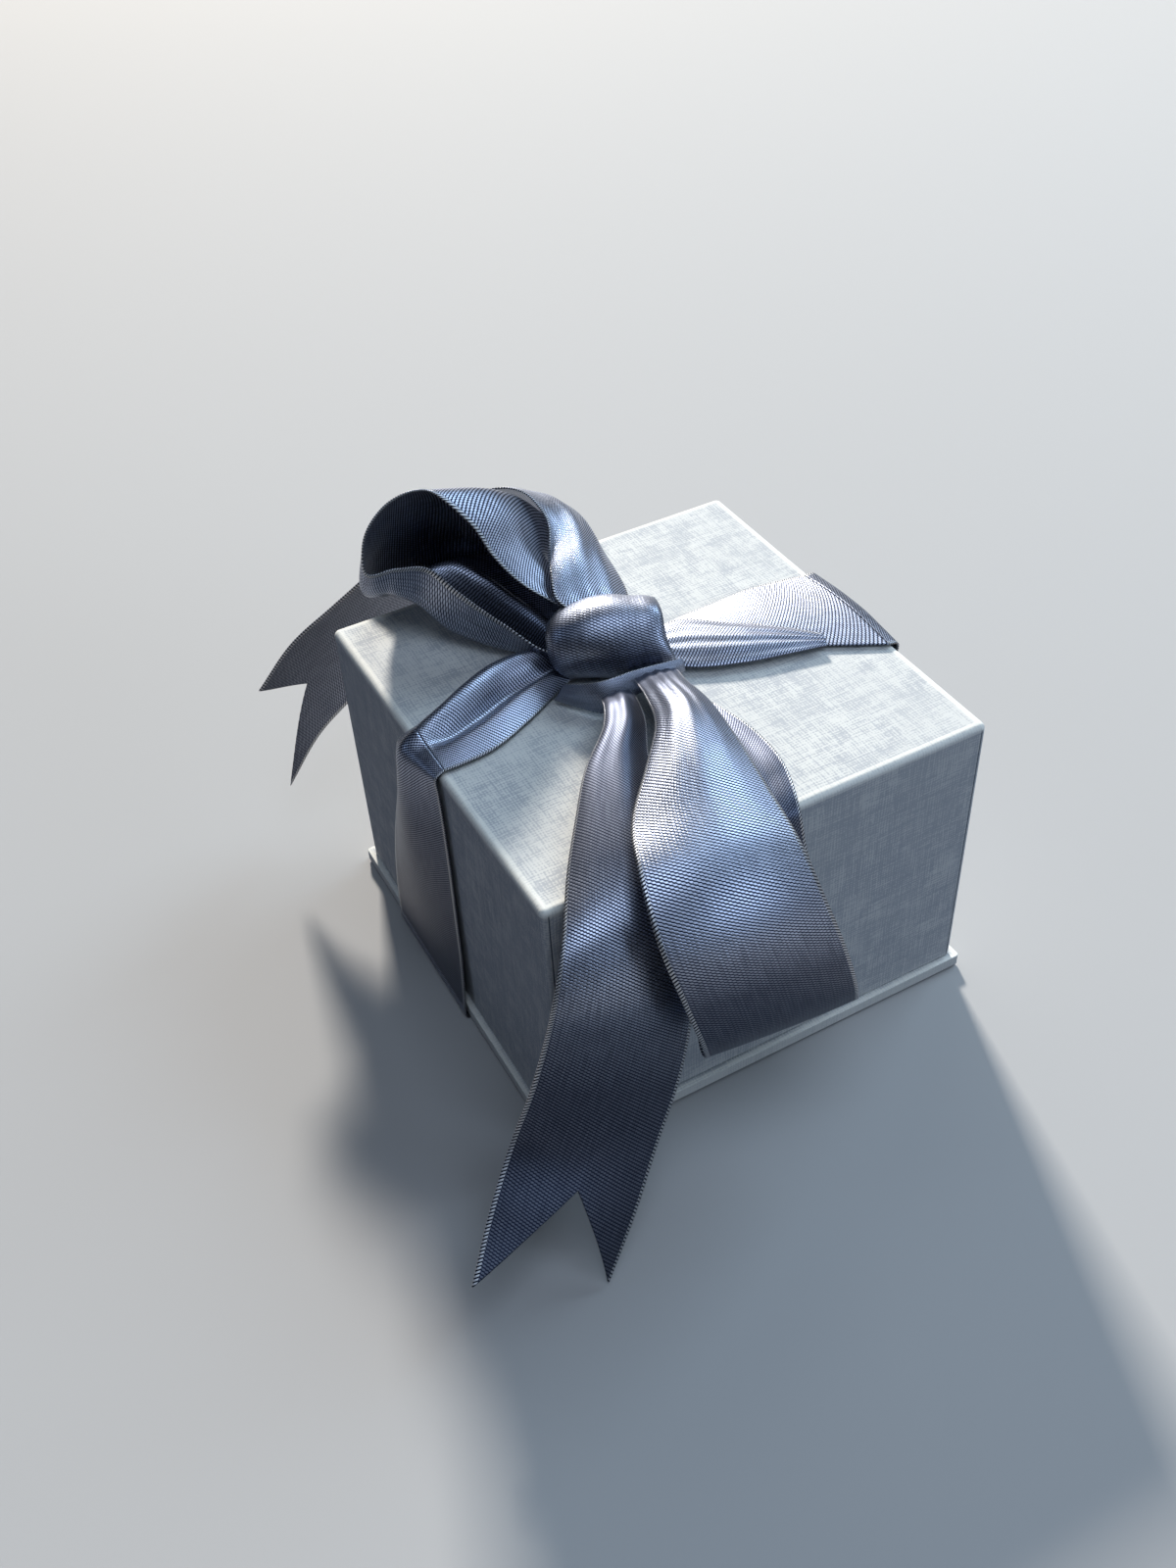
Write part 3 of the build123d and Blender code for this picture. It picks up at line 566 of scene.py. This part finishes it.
bandRightRows = [
    rightEdgeRow,
    ((35.5, -13.6, 50.0), (35.5, 7.9, 50.0), (0.7, 0, 0.7), (0.4, 0.6, 0.4)),
    ((35.6, -13.0, 46.0), (35.6, 9.5, 46.0), (1, 0, 0), (0.8, 1.2, 0.8)),
    ((35.6, -11.0, 34.0), (35.7, 12.4, 34.0), (1, 0, 0), (0.7, 1.0, 0.7)),
    ((35.8, -8.5, 18.0), (35.9, 15.8, 18.0), (1, 0, 0), (0.3, 0.5, 0.3)),
    ((36.45, -5.5, 2.6), (36.45, 19.5, 2.6), (1, 0, 0), (0, 0, 0)),
]
loopLeftRows = [
    ((-6.0, 5.6, 57.6), (-2.5, 6.3, 56.4), (0, -0.2, 1), (0.3,)),
    ((-8.7, 9.4, 60.0), (-3.6, 10.4, 57.0), (-0.1, 0.2, 1), (0.6,)),
    ((-12.3, 12.0, 63.0), (-3.1, 14.1, 57.1), (0.1, 0.3, 1), (1.6,)),
    ((-15.4, 15.0, 67.4), (-4.2, 18.1, 58.3), (0.3, 0.4, 0.9), (3.0,)),
    ((-17.3, 18.0, 72.1), (-1.8, 22.3, 60.7), (0.4, 0.5, 0.8), (3.6,)),
    ((-19.8, 20.0, 75.5), (-1.3, 25.7, 62.8), (0.4, 0.5, 0.8), (2.8,)),
    ((-23.2, 22.0, 77.3), (-10.1, 28.4, 57.4), (0.2, 0.6, 0.8), (2.2,)),
    ((-28.0, 23.0, 75.5), (-16.9, 32.3, 57.1), (-0.5, 0.5, 0.6), (1.6,)),
    ((-31.7, 23.0, 70.0), (-23.4, 35.8, 52.9), (-1.0, 0.3, 0.0), (1.6,)),
    ((-31.9, 23.0, 66.7), (-23.0, 35.5, 52.4), (-0.9, 0.0, -0.5), (2.6, 2.2, 1.8)),
    ((-27.5, 22.2, 66.0), (-17.0, 32.6, 57.0), (-0.81, -0.17, -0.57), (4.8, 1.4, 1.5)),
    ((-23.0, 21.0, 65.0), (-11.6, 29.4, 59.0), (-0.81, -0.17, -0.57), (7.6, 0.6, 1.8)),
    ((-20.5, 18.0, 62.2), (-8.6, 25.2, 58.2), (-0.81, -0.17, -0.57), (8.8, 0.6, 2.0)),
    ((-18.3, 15.0, 60.0), (-7.0, 20.2, 57.2), (-0.81, -0.17, -0.57), (7.8, 0.5, 1.8)),
    ((-15.7, 11.8, 57.7), (-6.2, 14.6, 56.6), (-0.78, -0.2, -0.6), (5.8, 0.4, 1.2)),
    ((-12.6, 6.2, 55.6), (-7.0, 9.2, 56.4), (-0.6, -0.3, -0.7), (2.4, 0.4, 0.4)),
    ((-8.0, 3.5, 54.8), (-5.0, 5.0, 55.6), (0, 0, -1), (0.3,)),
]
loopFrontRows = [
    ((-3.4, -0.5, 53.6), (-0.4, -0.8, 53.8), (0, 0, 1), (0.2,)),
    ((-4.8, -5.9, 54.9), (1.2, -6.1, 54.7), (0, -0.3, 1), (0.6,)),
    ((-7.4, -13.9, 58.3), (-0.8, -13.5, 58.0), (0, -0.1, 1), (1.2,)),
    ((-9.7, -20.4, 59.4), (-1.3, -20.0, 59.3), (0, -0.1, 1), (1.8,)),
    ((-15.3, -27.2, 58.9), (-1.9, -28.0, 58.5), (0, -0.3, 1), (2.2,)),
    ((-21.0, -33.5, 57.7), (-2.3, -35.3, 56.5), (0, -0.5, 0.9), (2.2,)),
    ((-24.2, -40.6, 56.7), (-2.5, -42.8, 53.7), (0, -0.8, 0.6), (2.0,)),
    ((-25.6, -47.5, 50.9), (-1.9, -48.6, 47.4), (0, -0.95, 0.3), (1.5,)),
    ((-24.3, -50.7, 43.0), (0.1, -51.1, 39.5), (0, -0.95, 0.3), (0.9,)),
    ((-21.4, -51.3, 31.9), (3.0, -51.1, 28.5), (0, -1, 0), (0.4,)),
    ((-20.7, -50.4, 29.7), (3.7, -50.2, 26.3), (0, -0.7, -0.7), (0.2,)),
    ((-20.4, -49.2, 28.9), (4.1, -49.0, 25.5), (0, 0.1, -1), (0.2,)),
    ((-20.0, -48.0, 29.3), (4.5, -47.8, 25.9), (0, 1, -0.4), (0.2,)),
    ((-17.8, -44.6, 35.1), (4.3, -44.7, 32.0), (0, 1, 0), (0.2,)),
    ((-15.1, -41.5, 42.5), (2.5, -41.5, 40.0), (0, 1, 0), (0.2,)),
    ((-13.4, -38.6, 47.4), (2.3, -38.6, 46.2), (0, 0.9, -0.3), (0.2,)),
    ((-12.4, -36.9, 51.8), (2.2, -36.9, 51.4), (0, 0.5, -0.8), (0.2,)),
    ((-9.6, -30.8, 53.4), (4.1, -30.8, 53.2), (0, 0, -1), (0.2,)),
    ((-7.4, -23.0, 53.6), (4.7, -23.2, 53.4), (0, 0, -1), (0.2,)),
    ((-5.0, -15.0, 53.2), (3.4, -15.2, 53.2), (0, 0, -1), (0.2,)),
    ((-3.6, -8.0, 52.2), (1.8, -8.0, 52.4), (0, 0, -1), (0.2,)),
    ((-2.6, -0.5, 52.8), (0.2, -0.5, 53.0), (0, 0, -1), (0.1,)),
]
tailFrontRows = [
    ((-10.4, -6.5, 54.2), (-6.0, -6.8, 54.0), (0, -0.1, 1), (0.5,)),
    ((-12.0, -10.4, 55.9), (-6.9, -10.1, 55.2), (0, -0.2, 1), (0.8,)),
    ((-14.0, -13.8, 56.1), (-8.1, -14.2, 55.3), (0, 0, 1), (1.0,)),
    ((-20.1, -19.8, 55.6), (-11.1, -20.4, 54.5), (0, -0.1, 1), (1.3,)),
    ((-25.2, -26.3, 54.2), (-13.7, -28.4, 53.3), (0, -0.2, 1), (1.6,)),
    ((-29.6, -32.1, 52.4), (-15.6, -35.7, 51.5), (0, -0.4, 1), (1.8,)),
    ((-35.0, -40.2, 49.0), (-18.1, -42.1, 45.8), (0, -0.8, 0.6), (2.0,)),
    ((-38.3, -43.4, 43.8), (-19.0, -44.6, 37.2), (0, -1, 0.3), (1.9,)),
    ((-40.3, -44.0, 38.0), (-20.1, -45.4, 28.6), (0, -1, 0.1), (1.8,)),
    ((-43.3, -44.7, 30.5), (-23.0, -47.0, 21.0), (0, -1, 0.1), (1.6,)),
    ((-46.6, -45.4, 24.2), (-27.2, -49.2, 14.9), (0, -1, 0), (1.6,)),
    ((-52.6, -49.8, 18.0), (-33.5, -53.4, 7.8), (0, -1, 0), (1.6,)),
    ((-58.2, -55.0, 12.3), (-40.0, -57.0, 0.8), (0, -1, 0), (1.6,)),
]
tailBackRows = [
    ((-5.2, 5.6, 58.4), (1.6, 6.6, 56.6), (0, 0, 1), (0.4,)),
    ((-8.7, 8.9, 60.8), (3.6, 11.0, 56.6), (0, 0, 1), (1.6,)),
    ((-7.9, 12.5, 62.9), (4.2, 15.0, 57.6), (0.2, 0.1, 1), (2.6,)),
    ((-5.8, 17.0, 64.0), (4.8, 20.4, 57.8), (0.3, 0, 1), (3.2,)),
    ((-4.2, 20.0, 66.0), (4.6, 26.4, 58.6), (0.4, 0, 1), (2.8,)),
    ((-4.6, 22.0, 68.4), (3.6, 33.4, 58.0), (0.5, 0.2, 0.9), (2.2,)),
    ((-5.6, 24.0, 69.9), (2.2, 38.4, 56.0), (0.5, 0.4, 0.8), (1.6,)),
    ((-7.5, 26.0, 70.4), (0.6, 42.5, 53.4), (0.4, 0.6, 0.7), (1.6,)),
    ((-12.4, 29.4, 69.1), (-5.0, 45.0, 49.8), (0.2, 0.7, 0.7), (1.2,)),
    ((-18.8, 36.4, 62.5), (-13.0, 48.0, 41.0), (-0.1, 0.8, 0.6), (1.0,)),
    ((-26.4, 40.0, 53.9), (-22.5, 48.4, 31.0), (-0.2, 0.9, 0.4), (0.8,)),
    ((-32.4, 41.6, 49.2), (-29.0, 48.6, 25.6), (-0.2, 0.9, 0.3), (0.8,)),
    ((-39.2, 43.2, 44.1), (-36.4, 48.6, 20.2), (-0.1, 1, 0.2), (0.8,)),
    ((-46.1, 44.6, 36.0), (-43.9, 48.0, 11.7), (0, 1, 0.1), (0.8,)),
]

# The knot's turn, drawn as rings round its axis; ends in mm along the axis and off it
knot = {
    "middle": (-3.5, 3.8, 55.75),
    "rows": 150,
    "axis": (0.880, -0.470, -0.045),
    "up": (0.352, 0.572, 0.741),
    # angle from the top towards the front, left end (along, up, front), right end, heights between
    "rings": [
        (0, (-8.0, 2.3, -0.3), (6.6, 5.1, 0.2), (2.3, 2.5, 1.6)),
        (40, (-8.9, 0.8, 1.6), (7.5, 3.0, 3.4), (3.0, 3.2, 2.2)),
        (85, (-9.0, -1.2, 2.3), (8.3, -0.6, 3.5), (3.0, 3.1, 2.3)),
        (130, (-8.1, -3.9, 1.7), (9.6, -3.0, 3.0), (1.7, 1.9, 1.2)),
        (180, (-5.4, -5.6, -0.6), (9.2, -4.3, 1.0), (0.5, 0.9, 0.8)),
        (225, (-6.0, -4.4, -3.6), (8.2, -3.2, -2.6), (0.8, 1.2, 1.4)),
        (270, (-7.4, -0.8, -4.6), (7.2, 0.4, -4.4), (1.2, 1.6, 1.6)),
        (315, (-8.0, 1.2, -2.9), (6.7, 3.2, -2.8), (2.0, 2.4, 2.0)),
        (360, (-8.0, 2.3, -0.3), (6.6, 5.1, 0.2), (2.3, 2.5, 1.6)),
    ],
    # how each end tucks in: share of the length, mm inwards
    "roll": ((0.17, -2.4), (0.075, -1.3), (0.01, 0.0)),
    # across the turn: the places of its eleven points, and the share of the length at the five inner ones
    "places": (0, 0.035, 0.07, 0.16, 0.28, 0.5, 0.72, 0.84, 0.93, 0.965, 1.0),
    "inner": (0.05, 0.22, 0.5, 0.78, 0.95),
    "shoulder": (0.62, 0.97),
}


def knotGrid():
    axis = Vector(knot["axis"]).normalized()
    up = Vector(knot["up"])
    up = (up - axis * up.dot(axis)).normalized()
    front = axis.cross(up)
    basis = np.array([axis, up, front])
    angles = np.radians([ring[0] for ring in knot["rings"]])
    table = np.array([[*ring[1], *ring[2], *ring[3]] for ring in knot["rings"]], float)
    # the run of rings closes, so its slopes come from one turn each side
    long = np.concatenate([angles[:-1] - 2 * math.pi, angles, angles[1:] + 2 * math.pi])
    table = np.concatenate([table[:-1], table, table[1:]])
    rowCount = knot["rows"]
    at = np.linspace(0, 2 * math.pi, rowCount + 1)
    values = smoothRun(long, table, at)
    near, far, heights = values[:, :3], values[:, 3:6], values[:, 6:]
    outward = np.stack([np.zeros_like(at), np.cos(at), np.sin(at)], 1)
    tuckShare, tuckLift = zip(*knot["roll"])
    share = np.array([*tuckShare, *knot["inner"], *(1 - part for part in reversed(tuckShare))])
    low, high = knot["shoulder"]
    places = columnPlaces()
    grid = np.empty((rowCount + 1, len(places), 3))
    for k in range(rowCount + 1):
        left, top, right = heights[k]
        crown = (left * low, left * high, top, right * high, right * low)
        lift = np.array([*tuckLift, *crown, *reversed(tuckLift)])
        run = smoothRun(np.array(knot["places"]), np.stack([share, lift], 1), places)
        chord = far[k] - near[k]
        grid[k] = near[k] + run[:, :1] * chord + run[:, 1:] * outward[k]
    grid = np.array(knot["middle"]) + grid @ basis
    middle = grid[:, len(places) // 2]
    along = np.concatenate([[0], np.cumsum(np.linalg.norm(np.diff(middle, axis=0), axis=1))])
    lay = np.stack(np.broadcast_arrays(places[None, :] * ribbon["width"], along[:, None]), -1)
    return grid * mm, lay * mm, along[-1]


flatStations = (-35.6, -34.8, -33.6, -31.0, -26.0, -14.0, 0.0, 14.0, 26.0, 31.0, 33.6, 34.8, 35.6)
strapRows = [
    ((-36.45, -5.5, 2.6), (-36.45, 19.5, 2.6), (-1, 0, 0), (0,)),
    ((-36.45, -5.5, 0.9), (-36.45, 19.5, 0.9), (-1, 0, 0), (0,)),
    ((-36.2, -5.5, 0.25), (-36.2, 19.5, 0.25), (-1, 0, -1), (0,)),
    *(((x, -5.5, 0.0), (x, 19.5, 0.0), (0, 0, -1), (0,)) for x in flatStations),
    ((36.2, -5.5, 0.25), (36.2, 19.5, 0.25), (1, 0, -1), (0,)),
    ((36.45, -5.5, 0.9), (36.45, 19.5, 0.9), (1, 0, 0), (0,)),
    ((36.45, -5.5, 2.6), (36.45, 19.5, 2.6), (1, 0, 0), (0,)),
]
# Painted shade and painted highlight along the ribbon, at each length from its root: mm, share of its colour;
# below 1 is painted shade, above 1 a painted highlight
paintedShadeAndLight = {
    "tail": (
        (0, 0.2), (14, 0.24), (28, 0.38), (35, 0.75), (42, 1.25),
        (48, 1.3), (56, 0.6), (66, 0.28), (94, 0.24),
    ),
    "loop": (
        (0, 0.22), (10, 0.35), (18, 0.6), (28, 1.05), (38, 1.3), (45, 1.6),
        (54, 1.6), (60, 0.9), (66, 0.35), (76, 0.25), (145, 0.4),
    ),
    "band": ((0, 1.0), (6, 0.7), (14, 0.34), (52, 0.22)),
    "bandTop": ((0, 1.4), (30, 1.4)),
    "back": ((0, 1.6), (30, 1.4), (42, 1.0), (58, 0.5), (92, 0.35)),
}
# How the back tail would be drawn up over the lid as the bow slides off: axis, anchor and share kept; this
# script gives the piece its own mesh and reads none of these
backSquash = {"axis": (0, 0, 1), "anchor": (0, 0, 54.5 * mm), "keep": 0.08}
# each piece's "deep" run is its painted shade and painted highlight along its length
ribbonPieces = {
    "ribbonKnot": {"node": "ribbon_knot", "flip": True, "held": "gathered"},
    "ribbonKnotFold": {"rows": knotFoldRows, "node": "ribbon_knot_fold", "flatWidth": 10},
    "ribbonBandTopLeft": {
        "rows": bandTopLeftRows,
        "node": "ribbon_band_top_left",
        "flip": True,
        "held": "stretched",
        "deep": paintedShadeAndLight["bandTop"],
    },
    "ribbonBandLeft": {
        "rows": bandLeftRows,
        "node": "ribbon_band_left",
        "flip": True,
        "held": "stretched",
        "deep": paintedShadeAndLight["band"],
    },
    "ribbonBandTopRight": {
        "rows": bandTopRightRows,
        "node": "ribbon_band_top_right",
        "held": "stretched",
        "span": (4, 25),
    },
    "ribbonBandFold": {
        "rows": bandFoldRows,
        "pleatHeight": 0.12,
        "pleats": 4,
        "flatWidth": 14,
        "span": (11, 25),
    },
    "ribbonBandRight": {
        "rows": bandRightRows,
        "node": "ribbon_band_right",
        "pleatHeight": 0.1,
        "held": "stretched",
    },
    "ribbonLoopLeft": {
        "rows": loopLeftRows,
        "node": "ribbon_loop_left",
        "flip": True,
        "pleatHeight": 0.25,
    },
    "ribbonLoopFront": {
        "rows": loopFrontRows,
        "node": "ribbon_loop_front",
        "pleats": 4,
        "pleatHeight": 0.12,
        "deep": paintedShadeAndLight["loop"],
    },
    "ribbonTailFront": {
        "rows": tailFrontRows,
        "node": "ribbon_tail_front",
        "notch": 14.0,
        "pleats": 2,
        "pleatHeight": 0.15,
        "held": "hung",
        "deep": paintedShadeAndLight["tail"],
    },
    "ribbonTailBack": {
        "rows": tailBackRows,
        "node": "ribbon_tail_back",
        "flip": True,
        "notch": 11.5,
        "pleatHeight": 0.25,
        "held": "hung",
        "deep": paintedShadeAndLight["back"],
        "squash": backSquash,
    },
    "ribbonUnderStrap": {
        "rows": strapRows,
        "node": "ribbon_under_strap",
        "flip": True,
        "body": "base",
        "held": "stretched",
        "restsOn": ["base_wrap"],
    },
}
for pieceName, pieceLook in ribbonPieces.items():
    makeRibbon(pieceName, pieceLook)

# The padded pieces inside: each swells as cloth, ten times its size, and is brought back
swell = {
    "cuts": 39,
    "sideCuts": 3,
    "enlarge": 10.0,
    "pressure": 4.0,
    "frames": 20,
    "pullIn": 0.015,
    "cornerPull": 0.02,
    "cornerPower": 6,
    "gluedWithin": 0.01 * mm,
}


def isUpright(edge):
    return abs(edge.verts[0].co.z - edge.verts[1].co.z) > 0.1


def makePad(nodeName, name, finish, pad):
    low, high = cornersOf(nodeName)
    width = high[0] - low[0] - 2 * pad["smaller"]
    tall = high[2] - low[2] - 2 * pad["smaller"]
    middle = [(first + second) / 2 for first, second in zip(low, high)]
    bm = bmesh.new()
    bmesh.ops.create_cube(bm, size=1)
    flat = [edge for edge in bm.edges if not isUpright(edge)]
    bmesh.ops.subdivide_edges(bm, edges=flat, cuts=swell["cuts"], use_grid_fill=True)
    upright = [edge for edge in bm.edges if isUpright(edge)]
    bmesh.ops.subdivide_edges(bm, edges=upright, cuts=swell["sideCuts"], use_grid_fill=True)
    for vert in bm.verts:
        # sides pull in between the corners, and the edge against the board or foam stays flat
        across, deep, up = vert.co * 2
        inset = 1 - swell["pullIn"] * (1 - across * across) * (1 - deep * deep)
        inset -= swell["cornerPull"] * abs(across * deep) ** swell["cornerPower"]
        vert.co = Vector((across * inset * width / 2, deep * inset * width / 2, up * tall / 2))
    for face in bm.faces:
        face.smooth = True
    mesh = bpy.data.meshes.new(name)
    bm.to_mesh(mesh)
    bm.free()
    piece = bpy.data.objects.new(name, mesh)
    bpy.context.scene.collection.objects.link(piece)
    swellPad(piece, pad, tall)
    for vert in mesh.vertices:
        vert.co += Vector(middle)
    mesh.materials.append(finish)
    finer = piece.modifiers.new("finer", "SUBSURF")
    finer.levels = finer.render_levels = 1
    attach(piece, pad["body"])
    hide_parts(nodeName)
    print(f"{name}: {len(mesh.polygons)} faces")


def cornersOf(nodeName):
    places = [vert.co for vert in nodes[nodeName].data.vertices]
    return [[pick(place[axis] for place in places) for axis in range(3)] for pick in (min, max)]


def swellPad(piece, pad, tall):
    # The face that is glued down is held still, and no point moves further than the cap
    mesh = piece.data
    start = [vert.co.copy() for vert in mesh.vertices]
    held = [vert.index for vert in mesh.vertices if vert.co.z * pad["held"] > tall / 2 - swell["gluedWithin"]]
    for vert in mesh.vertices:
        vert.co *= swell["enlarge"]
    piece.vertex_groups.new(name="held").add(held, 1.0, "REPLACE")
    cloth = piece.modifiers.new("swell", "CLOTH").settings
    cloth.vertex_group_mass = "held"
    cloth.use_pressure = True
    cloth.uniform_pressure_force = swell["pressure"]
    cloth.effector_weights.gravity = 0
    scene = bpy.context.scene
    for number in range(1, swell["frames"] + 1):
        scene.frame_set(number)
    settled = piece.evaluated_get(bpy.context.evaluated_depsgraph_get()).data
    swollen = [vert.co / swell["enlarge"] for vert in settled.vertices]
    piece.modifiers.clear()
    piece.vertex_groups.clear()
    scene.frame_set(1)
    reach = 0
    for vert, before, after in zip(mesh.vertices, start, swollen):
        move = after - before
        reach = max(reach, move.length)
        if move.length > pad["cap"]:
            move *= pad["cap"] / move.length
        vert.co = before + move
    print(f"{piece.name} swelled by {reach / mm:.2f} mm before the cap")


# "held" is which end is glued: 1 the top, -1 the bottom
lidPadLook = {
    "body": "lid",
    "held": 1,
    "smaller": 0.6 * mm,
    "cap": 1.6 * mm,
    "fill": 0.7,
    "slot": "pad_satin",
}
insertLook = {
    "body": "base",
    "held": -1,
    "smaller": 0.5 * mm,
    "cap": 1.8 * mm,
    "fill": 0.8,
    "slot": "velvet",
}
makePad("lid_pad", "lidPad", padSatin, lidPadLook)
makePad("insert_cover", "insertCover", velvet, insertLook)

# The floor looks pale where it is seen, and sends little light back to the object
floorLook = {
    "size": 3.0,
    "seen": (0.35, 0.345, 0.34),
    "bounce": (0.05, 0.058, 0.09),
    "roughness": 0.9,
}
bm = bmesh.new()
bmesh.ops.create_grid(bm, x_segments=1, y_segments=1, size=floorLook["size"])
floorMesh = bpy.data.meshes.new("floor")
bm.to_mesh(floorMesh)
bm.free()
floor = bpy.data.objects.new("floor", floorMesh)
bpy.context.scene.collection.objects.link(floor)
floorMaterial, tree, shader = startMaterial("floor", floorLook["seen"], floorLook["roughness"])
rays = tree.nodes.new("ShaderNodeLightPath")
seen = doMath(tree, "MAXIMUM", rays.outputs["Is Camera Ray"], rays.outputs["Is Glossy Ray"])
seen = doMath(tree, "MAXIMUM", seen, rays.outputs["Is Transmission Ray"])
tree.links.new(mixColors(tree, seen, floorLook["bounce"], floorLook["seen"]), shader.inputs["Base Color"])
floorMesh.materials.append(floorMaterial)

lights = {
    "sun": {"place": (0.80, 2.48, 1.48), "size": 0.34, "power": 176, "color": (1.0, 0.95, 0.88)},
    "sky": {"place": (0.68, 0.12, 0.72), "size": 0.45, "power": 4.4, "color": (0.60, 0.80, 1.0)},
    "back": {"place": (0.36, 0.50, 0.78), "size": 0.30, "power": 0.7, "color": (0.80, 0.90, 1.0)},
    "zenith": {"place": (-0.06, -0.38, 0.92), "size": 0.52, "power": 3.3, "color": (0.68, 0.81, 1.0)},
    "horizon": {"place": (0.55, -0.98, 0.52), "size": 0.46, "power": 3.5, "color": (0.62, 0.78, 1.0)},
    "right": {"place": (0.95, 0.0, 0.42), "size": 0.36, "power": 1.2, "color": (0.70, 0.85, 1.0)},
    "left": {"place": (-1.0, 0.2, 0.72), "size": 0.44, "power": 0.9, "color": (0.55, 0.72, 1.0)},
}
for lightName, lamp in lights.items():
    data = bpy.data.lights.new(lightName, "AREA")
    data.size = lamp["size"]
    data.energy = lamp["power"]
    data.color = lamp["color"]
    light = bpy.data.objects.new(lightName, data)
    light.location = lamp["place"]
    light.rotation_euler = (-Vector(lamp["place"])).to_track_quat("-Z", "Y").to_euler()
    bpy.context.scene.collection.objects.link(light)
room = {"color": (0.85, 0.90, 1.0, 1), "strength": 0.03}
world = bpy.data.worlds.new("room")
world.use_nodes = True
worldShade = world.node_tree.nodes["Background"]
worldShade.inputs["Color"].default_value = room["color"]
worldShade.inputs["Strength"].default_value = room["strength"]
bpy.context.scene.world = world
bpy.context.scene.view_settings.view_transform = "Standard"
print("floor and light set")
